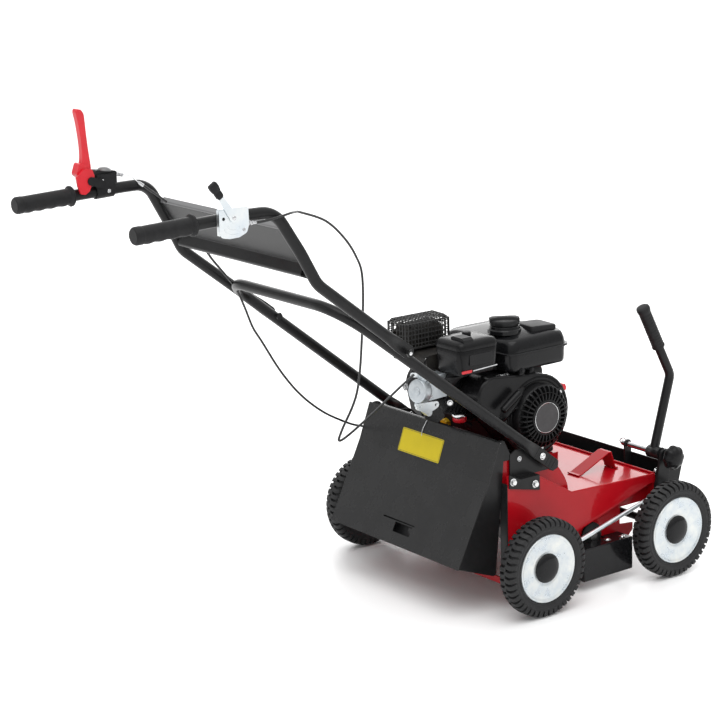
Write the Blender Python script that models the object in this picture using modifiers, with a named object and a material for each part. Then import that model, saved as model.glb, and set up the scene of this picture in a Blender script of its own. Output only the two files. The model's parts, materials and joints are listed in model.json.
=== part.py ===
# Walk-behind petrol lawn aerator (scarifier).
# Metres in the file, millimetres in the constants; +Z up, +Y is the way the
# machine drives, +X is its right-hand side.  The origin is on the ground, at
# the middle of the machine's footprint.
import bpy, bmesh, math
from mathutils import Vector, Matrix

for o in list(bpy.data.objects):
    bpy.data.objects.remove(o, do_unlink=True)

# ------------------------------------------------------------------ dimensions
MM = 0.001
Y0 = 193.0           # rear wheel centre ahead of the origin

TYRE_R, TYRE_W = 100.0, 41.0
WHEEL_X = 287.5      # wheel mid-plane from the machine's centre line
RIM_R = 69.7
REAR_C = (20.0, 147.2)      # rear cranked shaft, pivot (y, z)
REAR_S = (0.0, 100.0)       # rear wheel spindle
REAR_P = (20.0, 81.5)       # rear pin of the link rod
FRONT_C = (388.0, 238.0)    # front axle and depth lever pivot
FRONT_S = (355.0, 100.0)    # front wheel spindle
FRONT_P = (388.0, 172.3)    # front pin of the link rod
ARM_X0, ARM_X1 = 228.0, 234.0
ROTOR = (205.0, 98.0)
ROTOR_R = 84.0
CRANK = (136.0, 349.0)
WALL_IN, WALL_OUT, SHEET = 200.0, 222.0, 3.0
DECK_REAR = -33.0
PLATFORM_Z = 246.0
HINGE = (-36.0, 337.0)      # flap hinge
FLAP_TILT = -26.26          # degrees, flap hanging rearwards
FLAP_L, FLAP_HALF = 255.4, 211.0
TUBE_R = 11.0
LEG_X, LEG_SPLAY = 202.0, 0.06   # legs of the lower handle at the fold bolts, and how they spread
LEG_Z, LEG_FALL = 556.5, 0.784   # height at y = -270, and fall per millimetre forwards
LEG_END, CROSS_Y, CROSS_R = 95.0, -404.0, 80.0
UP_X, GRIP_X = 226.0, 211.0
FOLD = (-281.0, 570.0)      # fold bolts
LEG_BOLT = (57.0, 300.0)
BELT_X = -236.5
PULLEY_R1, PULLEY_R2, PULLEY_RI = 30.0, 42.0, 15.0
IDLER_PIVOT, IDLER_C = (152.0, 170.0), (172.0, 228.0)

# ------------------------------------------------------------------ scene set-up
col = bpy.data.collections.new("lawn_aerator")
bpy.context.scene.collection.children.link(col)
cut_col = bpy.data.collections.new("cutters")
bpy.context.scene.collection.children.link(cut_col)


def material(name, rgb, rough, metal=0.0):
    m = bpy.data.materials.new(name)
    m.use_nodes = True
    b = m.node_tree.nodes["Principled BSDF"]
    b.inputs["Base Color"].default_value = (*rgb, 1)
    b.inputs["Roughness"].default_value = rough
    b.inputs["Metallic"].default_value = metal
    m.diffuse_color = (*rgb, 1)
    return m


PAINTS = dict(
    red=((0.50, 0.012, 0.022), 0.22, 0.0),
    black=((0.022, 0.022, 0.025), 0.38, 0.0),
    charcoal=((0.05, 0.05, 0.052), 0.42, 0.0),
    plastic=((0.018, 0.018, 0.020), 0.45, 0.0),
    rubber=((0.035, 0.035, 0.038), 0.85, 0.0),
    zinc=((0.78, 0.80, 0.82), 0.30, 1.0),
    steel=((0.55, 0.56, 0.58), 0.35, 1.0),
    cast=((0.45, 0.46, 0.47), 0.5, 1.0),
    lever_red=((0.62, 0.02, 0.03), 0.35, 0.0),
    yellow=((0.75, 0.50, 0.02), 0.4, 0.0),
    exhaust=((0.06, 0.055, 0.05), 0.6, 0.6),
)


def P(x, y, z):
    return Vector((x * MM, (y + Y0) * MM, z * MM))


def add(name, mesh, group=None):
    ob = bpy.data.objects.new(name, mesh)
    (group or col).objects.link(ob)
    return ob


def tool(ob):
    """Marks an object as a cutter or as stock that another piece takes up."""
    for c in list(ob.users_collection):
        c.objects.unlink(ob)
    cut_col.objects.link(ob)
    ob.hide_render = True
    ob.display_type = 'WIRE'
    return ob


def finish(ob, paint, origin=None, smooth=35):
    """Own material, origin on the joint axis, smooth shading."""
    rgb, rough, metal = PAINTS[paint]
    ob.data.materials.clear()
    ob.data.materials.append(material(ob.name, rgb, rough, metal))
    if origin is not None:
        o = P(*origin)
        ob.data.transform(Matrix.Translation(-o))
        ob.location = o
    if ob.type == 'MESH' and smooth:
        ob.data.shade_smooth()
        ob.data.set_sharp_from_angle(angle=math.radians(smooth))
    return ob


def from_bmesh(name, bm):
    me = bpy.data.meshes.new(name)
    bmesh.ops.recalc_face_normals(bm, faces=bm.faces[:])
    bm.to_mesh(me)
    bm.free()
    return add(name, me)


def box(name, x0, x1, y0, y1, z0, z1):
    bm = bmesh.new()
    bmesh.ops.create_cube(bm, size=1.0)
    a, b = P(min(x0, x1), y0, z0), P(max(x0, x1), y1, z1)
    for v in bm.verts:
        v.co = Vector([(a[i] + b[i]) / 2 + v.co[i] * (b[i] - a[i]) for i in range(3)])
    return from_bmesh(name, bm)


def rod(name, p0, p1, r, sides=24, r2=None):
    """Plain round bar or cone from p0 to p1 (mm)."""
    a, b = P(*p0), P(*p1)
    d = b - a
    bm = bmesh.new()
    bmesh.ops.create_cone(bm, cap_ends=True, segments=sides, radius1=r * MM,
                          radius2=(r if r2 is None else r2) * MM, depth=d.length)
    q = Vector((0, 0, 1)).rotation_difference(d.normalized()).to_matrix().to_4x4()
    bm.transform(Matrix.Translation((a + b) / 2) @ q)
    return from_bmesh(name, bm)


def to_mesh(ob, weld=1e-5):
    """Turns a curve object into a mesh object with its caps welded on."""
    bpy.context.view_layer.update()
    dg = bpy.context.evaluated_depsgraph_get()
    me = bpy.data.meshes.new_from_object(ob.evaluated_get(dg))
    bm = bmesh.new()
    bm.from_mesh(me)
    bmesh.ops.remove_doubles(bm, verts=bm.verts[:], dist=weld)
    bmesh.ops.recalc_face_normals(bm, faces=bm.faces[:])
    bm.to_mesh(me)
    bm.free()
    name = ob.name
    data = ob.data
    m = ob.matrix_world.copy()
    bpy.data.objects.remove(ob, do_unlink=True)
    bpy.data.curves.remove(data)
    me.transform(m)
    new = add(name, me)
    return new


AXES = {
    'x': Matrix(((0, 0, 1), (1, 0, 0), (0, 1, 0))).to_4x4(),    # outline in (y, z)
    'y': Matrix(((1, 0, 0), (0, 0, -1), (0, 1, 0))).to_4x4(),   # outline in (x, z)
    'z': Matrix.Identity(4),                                    # outline in (x, y)
}


def ring(y, z, r, n=20):
    return [(y + r * math.cos(2 * math.pi * k / n), z + r * math.sin(2 * math.pi * k / n))
            for k in range(n)]


def plate(name, axis, outline, a0, a1, holes=()):
    """Flat piece cut from sheet: an outline (mm) across the given axis,
    from a0 to a1 along it; holes are loops or (u, v, r)."""
    cu = bpy.data.curves.new(name, 'CURVE')
    cu.dimensions = '2D'
    cu.fill_mode = 'BOTH'
    cu.extrude = abs(a1 - a0) / 2 * MM
    loops = [outline] + [ring(*h, 14) if len(h) == 3 and not hasattr(h[0], '__len__') else h
                         for h in holes]
    for loop in loops:
        sp = cu.splines.new('POLY')
        sp.points.add(len(loop) - 1)
        for p, (u, v) in zip(sp.points, loop):
            p.co = (u * MM, v * MM, 0, 1)
        sp.use_cyclic_u = True
    ob = bpy.data.objects.new(name, cu)
    col.objects.link(ob)
    mid = (a0 + a1) / 2
    off = {'x': P(mid, 0, 0), 'y': P(0, mid, 0), 'z': P(0, 0, mid)}[axis]
    if axis == 'x':
        m = Matrix.Translation(off) @ AXES['x']
    elif axis == 'y':
        m = Matrix.Translation(off) @ AXES['y']
    else:
        m = Matrix.Translation(off)
    ob.matrix_world = m
    return to_mesh(ob)


def turned(name, profile, centre, axis, steps=32, closed=True, turn=0.0):
    """Turned piece: (radius, height) profile in mm, running down its outer
    side, about an axis through centre; height grows along the axis."""
    me = bpy.data.meshes.new(name)
    n = len(profile)
    edges = [(i, i + 1) for i in range(n - 1)] + ([(n - 1, 0)] if closed else [])
    me.from_pydata([(r * MM, 0, h * MM) for r, h in profile], edges, [])
    ob = add(name, me)
    s = ob.modifiers.new("turn", 'SCREW')
    s.axis = 'Z'
    s.steps = s.render_steps = steps
    s.use_merge_vertices = True
    s.merge_threshold = 0.00001
    s.use_normal_calculate = True
    dg = bpy.context.evaluated_depsgraph_get()
    bpy.context.view_layer.update()
    dg = bpy.context.evaluated_depsgraph_get()
    out = bpy.data.meshes.new_from_object(ob.evaluated_get(dg))
    bpy.data.objects.remove(ob, do_unlink=True)
    bm = bmesh.new()
    bm.from_mesh(out)
    bmesh.ops.remove_doubles(bm, verts=bm.verts[:], dist=1e-6)
    bmesh.ops.recalc_face_normals(bm, faces=bm.faces[:])
    bm.to_mesh(out)
    bm.free()
    d = Vector(axis).normalized()
    q = Vector((0, 0, 1)).rotation_difference(d).to_matrix().to_4x4()
    out.transform(Matrix.Translation(P(*centre)) @ q @ Matrix.Rotation(turn, 4, 'Z'))
    return add(name, out)


def fillet(pts, radius, n=6):
    """Rounds the inner corners of a polyline of (x, y, z) mm points."""
    pts = [Vector(p) for p in pts]
    rad = radius if hasattr(radius, '__len__') else [radius] * (len(pts) - 2)
    out = [pts[0]]
    for i in range(1, len(pts) - 1):
        a, b, c = pts[i - 1], pts[i], pts[i + 1]
        u, w = (a - b).normalized(), (c - b).normalized()
        ang = u.angle(w)
        t = min(rad[i - 1] / math.tan(ang / 2), 0.48 * (a - b).length, 0.48 * (c - b).length)
        p0, p1 = b + u * t, b + w * t
        for k in range(n + 1):
            s = k / n
            out.append(p0 * (1 - s) ** 2 + b * 2 * s * (1 - s) + p1 * s ** 2)
    out.append(pts[-1])
    return out


def spline(pts, n):
    """Smooth curve through points (mm), read at n even places."""
    pts = [Vector(p) for p in pts]
    ext = [2 * pts[0] - pts[1]] + pts + [2 * pts[-1] - pts[-2]]
    fine = []
    for i in range(1, len(ext) - 2):
        a, b, c, d = ext[i - 1:i + 3]
        for k in range(24):
            t = k / 24
            fine.append(0.5 * ((2 * b) + (c - a) * t + (2 * a - 5 * b + 4 * c - d) * t * t
                               + (3 * b - a - 3 * c + d) * t ** 3))
    fine.append(pts[-1])
    acc = [0.0]
    for p, q in zip(fine, fine[1:]):
        acc.append(acc[-1] + (q - p).length)
    out, j = [], 0
    for k in range(n):
        s = acc[-1] * k / (n - 1)
        while j < len(acc) - 2 and acc[j + 1] < s:
            j += 1
        f = (s - acc[j]) / max(acc[j + 1] - acc[j], 1e-9)
        out.append(fine[j].lerp(fine[j + 1], f))
    return out


def tube(name, pts, r, res=3):
    cu = bpy.data.curves.new(name, 'CURVE')
    cu.dimensions = '3D'
    cu.bevel_depth = r * MM
    cu.bevel_resolution = res
    cu.use_fill_caps = True
    cu.render_resolution_u = 0
    sp = cu.splines.new('POLY')
    sp.points.add(len(pts) - 1)
    for p, q in zip(sp.points, pts):
        v = P(*q)
        p.co = (v.x, v.y, v.z, 1)
    ob = bpy.data.objects.new(name, cu)
    col.objects.link(ob)
    return to_mesh(ob)


def join(base, *others, op='UNION'):
    for o in others:
        m = base.modifiers.new(op.lower() + "_" + o.name, 'BOOLEAN')
        m.operation = op
        m.solver = 'EXACT'
        m.object = tool(o)
    return base


def bake(ob):
    """Keeps the evaluated shape, so that it can be moved or copied."""
    bpy.context.view_layer.update()
    dg = bpy.context.evaluated_depsgraph_get()
    me = bpy.data.meshes.new_from_object(ob.evaluated_get(dg))
    bm = bmesh.new()
    bm.from_mesh(me)
    bmesh.ops.remove_doubles(bm, verts=bm.verts[:], dist=2e-6)
    bmesh.ops.dissolve_degenerate(bm, edges=bm.edges[:], dist=1e-6)
    bm.to_mesh(me)
    bm.free()
    used = [m.object for m in ob.modifiers if m.type == 'BOOLEAN']
    ob.modifiers.clear()
    me.transform(ob.matrix_world)
    ob.data = me
    ob.matrix_world = Matrix.Identity(4)
    for u in used:
        if u:
            bpy.data.objects.remove(u, do_unlink=True)
    return ob


def weld(base, *others, op='UNION'):
    """Joins or cuts one piece at a time and keeps the shape after each."""
    for o in others:
        bake(join(base, o, op=op))
    return base


def bevel(ob, w, seg=2, angle=35):
    m = ob.modifiers.new("edges", 'BEVEL')
    m.width = w * MM
    m.segments = seg
    m.limit_method = 'ANGLE'
    m.angle_limit = math.radians(angle)
    return ob


def mirrored(ob, name):
    """The left-hand copy of a right-hand piece."""
    me = ob.data.copy()
    me.transform(Matrix.Translation(ob.location))
    me.transform(Matrix.Scale(-1, 4, (1, 0, 0)))
    me.flip_normals()
    return add(name, me)


def hull(circles, n=28):
    pts = []
    for (y, z, r) in circles:
        pts += ring(y, z, r, n)
    pts = sorted(set((round(a, 4), round(b, 4)) for a, b in pts))

    def half(seq):
        h = []
        for p in seq:
            while len(h) > 1 and ((h[-1][0] - h[-2][0]) * (p[1] - h[-2][1])
                                  - (h[-1][1] - h[-2][1]) * (p[0] - h[-2][0])) <= 0:
                h.pop()
            h.append(p)
        return h[:-1]
    return half(pts) + half(pts[::-1])


def strip(path, t):
    """Outline of a bent strip of thickness t along a polyline."""
    pts = [Vector(p) for p in path]
    left, right = [], []
    for i, p in enumerate(pts):
        a = (p - pts[i - 1]).normalized() if i else (pts[1] - p).normalized()
        b = (pts[i + 1] - p).normalized() if i < len(pts) - 1 else a
        n = Vector((-(a + b).y, (a + b).x)).normalized()
        k = 1 / max(0.4, n.dot(Vector((-a.y, a.x))))
        left.append(tuple(p + n * t / 2 * k))
        right.append(tuple(p - n * t / 2 * k))
    return left + right[::-1]


# ================================================================== deck
def deck_top_z(y):
    return 208.5 + (y - 134.0) * (199.5 - 208.5) / (366.0 - 134.0)


side = [(DECK_REAR - 2, 45), (106, 45), (114, 113), (350, 182.5), (366, 182.5), (366, 200.5),
        (134, 209.5), (44, 262), (-13, 262), (-17, 272), (-30, 278), (DECK_REAR - 2, 278)]
inner = [(DECK_REAR + 0.5, 45), (285, 45), (300, 62), (324, 84), (324, 99), (287, 103), (287, 140), (364.6, 140), (364.6, 197), (134, 206),
         (70.5, 244.2), (DECK_REAR + 0.5, 244.2)]
top = [(DECK_REAR, PLATFORM_Z), (71, PLATFORM_Z), (134, 208.5), (365.4, 199.5), (365.4, 196.5),
       (133, 205.5), (70, PLATFORM_Z - 3), (DECK_REAR, PLATFORM_Z - 3)]
deck = plate("deck_shell", 'x', top, -223.4, 223.4)
for s in (1, -1):
    weld(deck, plate("deck_side%d" % s, 'x', side, s * WALL_OUT, s * (WALL_OUT + SHEET),
                     [(REAR_C[0], REAR_C[1], 8.7)]),
         plate("deck_inner%d" % s, 'x', inner, s * WALL_IN, s * (WALL_IN + SHEET),
               [(REAR_C[0], REAR_C[1], 8.7), (ROTOR[0], ROTOR[1], 12.0)]))
    under = strip([(113.5, 116), (349, 185.4)], SHEET)
    weld(deck, plate("deck_under%d" % s, 'x', under, s * (WALL_IN + 1), s * (WALL_OUT + 1)))
    cheek = [(DECK_REAR + 1, 244.5), (24, 244.5), (24, 250), (-24, 342), (-30, 343.2), (-36, 343.2),
             (-39.1, 342.4), (-41.3, 340.1), (-42.2, 337), (-41.3, 333.9), (-38.5, 330.9), (DECK_REAR + 1, 322)]
    weld(deck, plate("deck_cheek%d" % s, 'x', cheek, s * 197, s * (WALL_IN + 0.6),
                     [(HINGE[0], HINGE[1], 4.4)]))
    # seat web that carries the engine over the sloping part of the hood
    x = -112 if s < 0 else 83
    weld(deck, plate("deck_web%d" % s, 'x', [(62, 244.6), (70, 244.6), (133.5, 207), (220, 203.6),
                                             (222, 245.2), (62, 245.2)], x, x + 3))
weld(deck, box("deck_seat", -111, 85, 66, 223, PLATFORM_Z - 2.6, PLATFORM_Z - 0.1),
     plate("deck_front", 'y', [(-222.8, 140.5), (222.8, 140.5), (222.8, 198), (-222.8, 198)], 363, 366.2),
     box("deck_back", -198, 198, DECK_REAR + 0.3, DECK_REAR + 3.3, 244.0, 327),
     box("deck_low_bar", -201, 201, DECK_REAR + 0.6, DECK_REAR + 3.6, 47, 60),
     rod("deck_idler_pin", (-223, *IDLER_PIVOT), (-231.2, *IDLER_PIVOT), 4.0, 14))
finish(deck, 'red')

# strap handle on the hood, standing along the machine
strap = [(222, deck_top_z(222) + 1.9), (232, deck_top_z(232) + 2.1), (309, 239.5), (316, 239.5),
         (328, deck_top_z(328) + 2.2), (336, deck_top_z(336) + 1.9)]
hh = plate("hood_handle", 'x', strip(strap, 3.0), 114, 147)
finish(hh, 'red')

# right side skirt: folded box, open below and behind
sk = box("side_skirt", 203.3, 250, 144, 280, 21, 90)
bevel(sk, 2.0, 1)
weld(sk, box("sk_in", 180, 247.5, 146.5, 277.5, 0, 87.5),
     rod("sk_notch", (150, *ROTOR), (217, *ROTOR), 29.0, 32), op='DIFFERENCE')
finish(sk, 'black')

# front frame: cross channel with end plates that carry the axle pivots
ff = plate("front_frame", 'x', [(366.3, 165), (408, 165), (408, 216), (405, 216), (405, 168),
                                (369.3, 168), (369.3, 198), (366.3, 198)], -220, 220)
parts = []
tab = ring(FRONT_C[0], FRONT_C[1], 14, 24)
end = [(367, 130), (412, 130), (436, 160), (447, 202), (412, 217)]
end += [p for p in tab if p[1] > 232][::1]
end += [(372, 205), (367, 199)]
cx = FRONT_C
top_arc = sorted([p for p in tab if p[1] > 236], key=lambda p: -p[0])
end = [(367, 130), (412, 130), (436, 160), (447, 202), (410, 216)] + top_arc + [(378, 229), (392, 210), (369, 199), (367, 198)]
parts.append(plate("ff_r", 'x', end, 219, 222, [(FRONT_C[0], FRONT_C[1], 10.3)]))
parts.append(plate("ff_l", 'x', end, -222, -219))
ear = [(381, 166), (395, 166)] + sorted([p for p in ring(*FRONT_C, 10, 16) if p[1] > 237],
                                       key=lambda p: -p[0])
parts.append(plate("ff_ear", 'x', ear, 118, 122, [(FRONT_C[0], FRONT_C[1], 6.4)]))
parts.append(rod("ff_pin", (-220.5, *FRONT_C), (-238, *FRONT_C), 6.0, 16))
weld(ff, *parts)
finish(ff, 'black')

# ================================================================== axles
def tri(circles):
    return hull([(c[0], c[1], r) for c, r in circles], 16)


fa = rod("front_axle", (-ARM_X0 - 3, *FRONT_S), (ARM_X0 + 3, *FRONT_S), 8.0, 20)
parts = []
for s in (1, -1):
    parts.append(plate("fa_arm%d" % s, 'x', tri([(FRONT_C, 14), (FRONT_S, 12), (FRONT_P, 9)]),
                       s * ARM_X0, s * ARM_X1, [(FRONT_C[0], FRONT_C[1], 6.5)]))
    parts.append(rod("fa_stub%d" % s, (s * (ARM_X0 + 2), *FRONT_S), (s * 303, *FRONT_S), 6.4, 20))
parts.append(rod("fa_pin", (ARM_X0 + 2, *FRONT_P), (248.5, *FRONT_P), 3.9, 16))
weld(fa, *parts)
finish(fa, 'black', (0, *FRONT_C))

ra = rod("rear_axle", (-ARM_X0 - 3, *REAR_C), (ARM_X0 + 3, *REAR_C), 8.0, 20)
parts = []
for s in (1, -1):
    parts.append(plate("ra_arm%d" % s, 'x', tri([(REAR_C, 12), (REAR_S, 12), (REAR_P, 8.5)]),
                       s * ARM_X0, s * ARM_X1))
    parts.append(rod("ra_stub%d" % s, (s * (ARM_X0 + 2), *REAR_S), (s * 303, *REAR_S), 6.4, 20))
parts.append(rod("ra_pin", (ARM_X0 + 2, *REAR_P), (248.5, *REAR_P), 3.9, 16))
weld(ra, *parts)
finish(ra, 'black', (0, *REAR_C))

# link rod between the two axles, with an eye at each end
lx0, lx1 = 239.0, 247.0
d = Vector((FRONT_P[0] - REAR_P[0], FRONT_P[1] - REAR_P[1])).normalized()
lr = rod("link_rod", (243, REAR_P[0] + d.x * 5.5, REAR_P[1] + d.y * 5.5),
         (243, FRONT_P[0] - d.x * 5.5, FRONT_P[1] - d.y * 5.5), 4.6, 14)
weld(lr, plate("lr_a", 'x', ring(*REAR_P, 8.5, 20), lx0 + 1, lx1 - 1, [(*REAR_P, 4.4)]),
     plate("lr_b", 'x', ring(*FRONT_P, 8.5, 20), lx0 + 1, lx1 - 1, [(*FRONT_P, 4.4)]))
finish(bake(lr), 'zinc', (243, *FRONT_P))

# ================================================================== wheels
TREAD = TYRE_R / math.cos(math.pi / 32)      # flats of the tread lie at the tyre's radius
TYRE = [(92, 20.5), (98, 16.5), (TREAD, 9), (TREAD, -9), (98, -16.5), (92, -20.5), (75, -20.5),
        (70, -16), (70, 16), (75, 20.5)]
RIM = [(RIM_R - 0.3, 17.5), (RIM_R - 0.3, -15), (66, -15), (62, -9), (13.5, -9),
       (13.5, -19.5), (6.85, -19.5), (6.85, 12.6), (32, 12.6)]
for side_name, s in (("right", 1), ("left", -1)):
    for end_name, c in (("rear", REAR_S), ("front", FRONT_S)):
        t = turned("tyre_%s_%s" % (end_name, side_name), TYRE, (s * WHEEL_X, *c), (s, 0, 0), 32, turn=math.pi / 32)
        finish(t, 'rubber', (s * WHEEL_X, *c), 50)
        r = turned("rim_%s_%s" % (end_name, side_name), RIM, (s * WHEEL_X, *c), (s, 0, 0), 28)
        finish(r, 'zinc', (s * WHEEL_X, *c))

# ================================================================== depth lever
lv = tube("depth_lever", fillet([(198, 388, 238), (198, 434, 397), (198, 403, 456),
                                 (198, 356, 547)], [26, 40], 5), 10.0, 3)
weld(lv, rod("lv_boss", (186, *FRONT_C), (218.5, *FRONT_C), 13.0, 20),
     rod("lv_neck", (217, *FRONT_C), (227.7, *FRONT_C), 9.8, 18))
weld(lv, rod("lv_bore", (180, *FRONT_C), (232, *FRONT_C), 6.4, 16), op='DIFFERENCE')
finish(lv, 'black', (198, *FRONT_C))

g0, g1 = Vector((400.5, 460.8)), Vector((353, 552.8))
gd = (g1 - g0).normalized()
gl = (g1 - g0).length
lg = turned("lever_grip", [(0, gl + 3), (8, gl + 1.5), (13, gl - 4), (14.5, gl - 12), (14, 8), (14.8, 3),
                           (13.5, 0), (10.4, 0), (10.4, gl - 5), (0, gl - 5)],
            (198, g0.x, g0.y), (0, gd.x, gd.y), 20, closed=False)
finish(lg, 'rubber')

pp = rod("lever_pivot_rod", (106, *FRONT_C), (250, *FRONT_C), 6.0, 16)
finish(pp, 'zinc', (120, *FRONT_C))

# star knob that clamps the arm
lobes = []
for k in range(36):
    a = 2 * math.pi * k / 36
    rr = 23.0 + 3.0 * math.cos(6 * a)
    lobes.append((FRONT_C[0] + rr * math.cos(a), FRONT_C[1] + rr * math.sin(a)))
kn = plate("depth_knob", 'x', lobes, 248, 262)
weld(kn, rod("kn_hub", (236.5, *FRONT_C), (249, *FRONT_C), 11.5, 20))
weld(kn, rod("kn_bore", (230, *FRONT_C), (251, *FRONT_C), 6.4, 16), op='DIFFERENCE')
finish(kn, 'plastic', (249, *FRONT_C))

# ================================================================== handle brackets
hb = plate("handle_bracket_right", 'x', [(-33, 252), (46, 234), (46, 265.6), (-4, 265.6), (-33, 280)],
           225.4, 228.4, [(-24, 264, 4.4), (33, 249, 4.4)])
weld(hb, plate("hb_web", 'z', [(202.4, -12), (228, -12), (228, 46), (202.4, 46)], 262.6, 265.6),
     plate("hb_up", 'x', [(-12, 263.0), (88, 263.0), (94, 270), (88, 282), (68, 305), (58, 312), (44, 314),
                          (20, 318), (2, 320), (-12, 312)], 202.6, 205.6,
           [(LEG_BOLT[0], LEG_BOLT[1], 4.4), (12, 300, 4.4)]))
finish(hb, 'black')
hbl = mirrored(hb, "handle_bracket_left")
finish(hbl, 'black')

# ================================================================== flap
def flap_local(y, z):
    """World (y, z) mm to the flap's own frame (y, z)."""
    a = math.radians(-FLAP_TILT)
    dy, dz = y - HINGE[0], z - HINGE[1]
    return (dy * math.cos(a) - dz * math.sin(a), dy * math.sin(a) + dz * math.cos(a))


def local_box(name, x0, x1, y0, y1, z0, z1):
    b = box(name, x0, x1, y0 - Y0, y1 - Y0, z0, z1)
    return b


def local_plate(name, outline, a0, a1):
    ob = plate(name, 'x', outline, a0, a1)
    ob.data.transform(Matrix.Translation((0, -Y0 * MM, 0)))
    return ob


fl = local_box("rear_flap", -FLAP_HALF + 0.4, FLAP_HALF - 0.4, -1, 1, -FLAP_L, -16)
wing = [(0.5, -20), (19.1, -25.1), (99.3, -244.3), (0.5, -250)]
knuckle = local_plate("fl_knuckle", ring(0, 0, 6.5, 20), -196, 196)
weld(fl, local_box("fl_neck", -189, 189, -0.9, 0.9, -18, -5.4), knuckle,
     local_plate("fl_wr", wing, FLAP_HALF - 2, FLAP_HALF), local_plate("fl_wl", wing, -FLAP_HALF, -FLAP_HALF + 2))
bore = local_plate("fl_bore", ring(0, 0, 4.5, 14), -230, 230)
weld(fl, bore, local_box("fl_slit", -56, 46, -5, 5, -210.5, -208),
     local_box("fl_hole", -14, 40, -5, 5, -227, -212), op='DIFFERENCE')
fl.data.transform(Matrix.Rotation(math.radians(FLAP_TILT), 4, 'X'))
fl.location = P(0, *HINGE)
finish(fl, 'charcoal')
hr = rod("flap_hinge_rod", (-205, *HINGE), (205, *HINGE), 4.0, 16)
finish(hr, 'zinc')

# ================================================================== handles
def leg(s, y):
    """Centre of a leg of the lower handle at y."""
    return (s * (LEG_X + LEG_SPLAY * (y + 270)), y, LEG_Z - LEG_FALL * (y + 270))


lh = tube("lower_handle", fillet([leg(1, LEG_END), leg(1, CROSS_Y), leg(-1, CROSS_Y), leg(-1, LEG_END)],
                                 CROSS_R, 8), TUBE_R, 3)
cutters = []
for s in (1, -1):
    cutters.append(rod("lh_a%d" % s, (s * 180, *FOLD), (s * 245, *FOLD), 4.4, 14))
    cutters.append(rod("lh_b%d" % s, (s * 195, *LEG_BOLT), (s * 250, *LEG_BOLT), 4.4, 14))
weld(lh, *cutters, op='DIFFERENCE')
finish(lh, 'black')

UP = [(GRIP_X, -832, 861), (GRIP_X, -612, 868.6), (215, -555, 868), (222, -508, 789), (UP_X, -476, 727),
      (UP_X, -267, 562.8)]
up = tube("upper_handle_right", fillet(UP, [60, 50, 90, 60], 4), TUBE_R, 3)
weld(up, rod("up_h", (205, *FOLD), (255, *FOLD), 4.4, 14), op='DIFFERENCE')
finish(up, 'black', (UP_X, *FOLD))
upl = mirrored(up, "upper_handle_left")
finish(upl, 'black', (-UP_X, *FOLD))

for nm, s in (("right", 1), ("left", -1)):
    b = rod("fold_bolt_" + nm, (s * 184.5, *FOLD), (s * 242, *FOLD), 4.0, 14)
    weld(b, rod("fb_head" + nm, (s * 237.3, *FOLD), (s * 242.6, *FOLD), 7.5, 6),
         rod("fb_nut" + nm, (s * 183.6, *FOLD), (s * 189.9, *FOLD), 7.5, 6))
    finish(b, 'zinc', (s * 214, *FOLD))
    g = turned("grip_" + nm, [(0, 121), (12, 120), (16, 116), (16, 60), (16.2, 14), (20, 6),
                              (20, 2), (17, 0), (11.4, 0), (11.4, 113), (0, 113)],
               (s * GRIP_X, -720, 864.9), (0, -1, -0.0345), 20, closed=False)
    finish(g, 'rubber')

# tray between the upper tubes: sheet with a folded channel along its lower edge
tr_path = [(-523, 839), (-532, 832), (-489, 764), (-498, 743), (-479, 735), (-472, 750)]
tr = plate("handle_tray", 'x', strip(tr_path, 2.0), -206, 206)
finish(tr, 'charcoal')

# ================================================================== controls
th = box("throttle_housing", 222.4, 230.5, -680, -619, 835, 888)
bevel(th, 3.0, 1)
bake(th)
weld(th, rod("th_adj", (226.5, -624, 859), (226.5, -602, 856), 3.2, 12))
weld(th, rod("th_pin", (220, -651, 871), (240, -651, 871), 3.5, 12), op='DIFFERENCE')
finish(th, 'zinc')
tl = plate("throttle_lever", 'x', hull([(-651, 871, 9), (-675, 907, 6)], 20), 231.0, 233.5)
tk = turned("tl_knob", [(0, 30), (6, 29), (9.5, 25), (10, 18), (8, 6), (6.5, 0), (0, 0)],
            (232.2, -677.0, 910.0), (0, -0.555, 0.832), 20, closed=False)
weld(tl, rod("tl_pin", (223.2, -651, 871), (232, -651, 871), 3.1, 12), tk)
finish(tl, 'plastic', (232, -651, 871))

OPC = (-686.0, 890.0)
ob_ = box("opc_bracket", -220.5, -194, -674, -628, 880.2, 909)
bevel(ob_, 4.0, 1)
bake(ob_)
weld(ob_, rod("ob_adj", (-205, -634, 898), (-205, -612, 892.5), 3.2, 12),
     rod("ob_dome", (-205, -655, 905), (-205, -655, 913), 8, 14, 5),
     plate("ob_cheek", 'x', [(-673, 863), (-634, 862), (-632, 900), (-673, 900)], -199.7, -197.0),
     plate("ob_ear", 'x', hull([(*OPC, 7), (-664, 893, 8)], 14), -191.6, -194.6),
     rod("ob_pin", (-192, *OPC), (-216, *OPC), 3.0, 12))
finish(ob_, 'plastic')
# red dead-man lever: hub on the pin, cheek beside the tube, blade rising from it
ol = plate("opc_lever", 'x', hull([(*OPC, 8), (-706, 906, 7), (-703, 920, 5)], 14), -220, -195.2)
blade = plate("ol_blade", 'x', [(-705, 905), (-690, 900), (-682, 918), (-684, 936), (-686, 953),
                                (-688, 977), (-689.5, 1001), (-691, 1018), (-696, 1025), (-705, 1028),
                                (-708, 1021), (-704, 1001), (-701, 977), (-698.5, 953), (-698, 931)],
              -213, -199.5)
bevel(blade, 2.5, 1)
cheek = plate("ol_cheek", 'x', [(-716, 900), (-713, 882), (-708, 868), (-698, 866), (-690, 872),
                                (-684, 886), (-677, 899), (-682, 912), (-700, 914)], -199.2, -194.9)
weld(ol, bake(blade), cheek)
weld(ol, rod("ol_hole", (-190, *OPC), (-217, *OPC), 3.4, 12), op='DIFFERENCE')
finish(ol, 'lever_red', (-207, *OPC))

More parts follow.
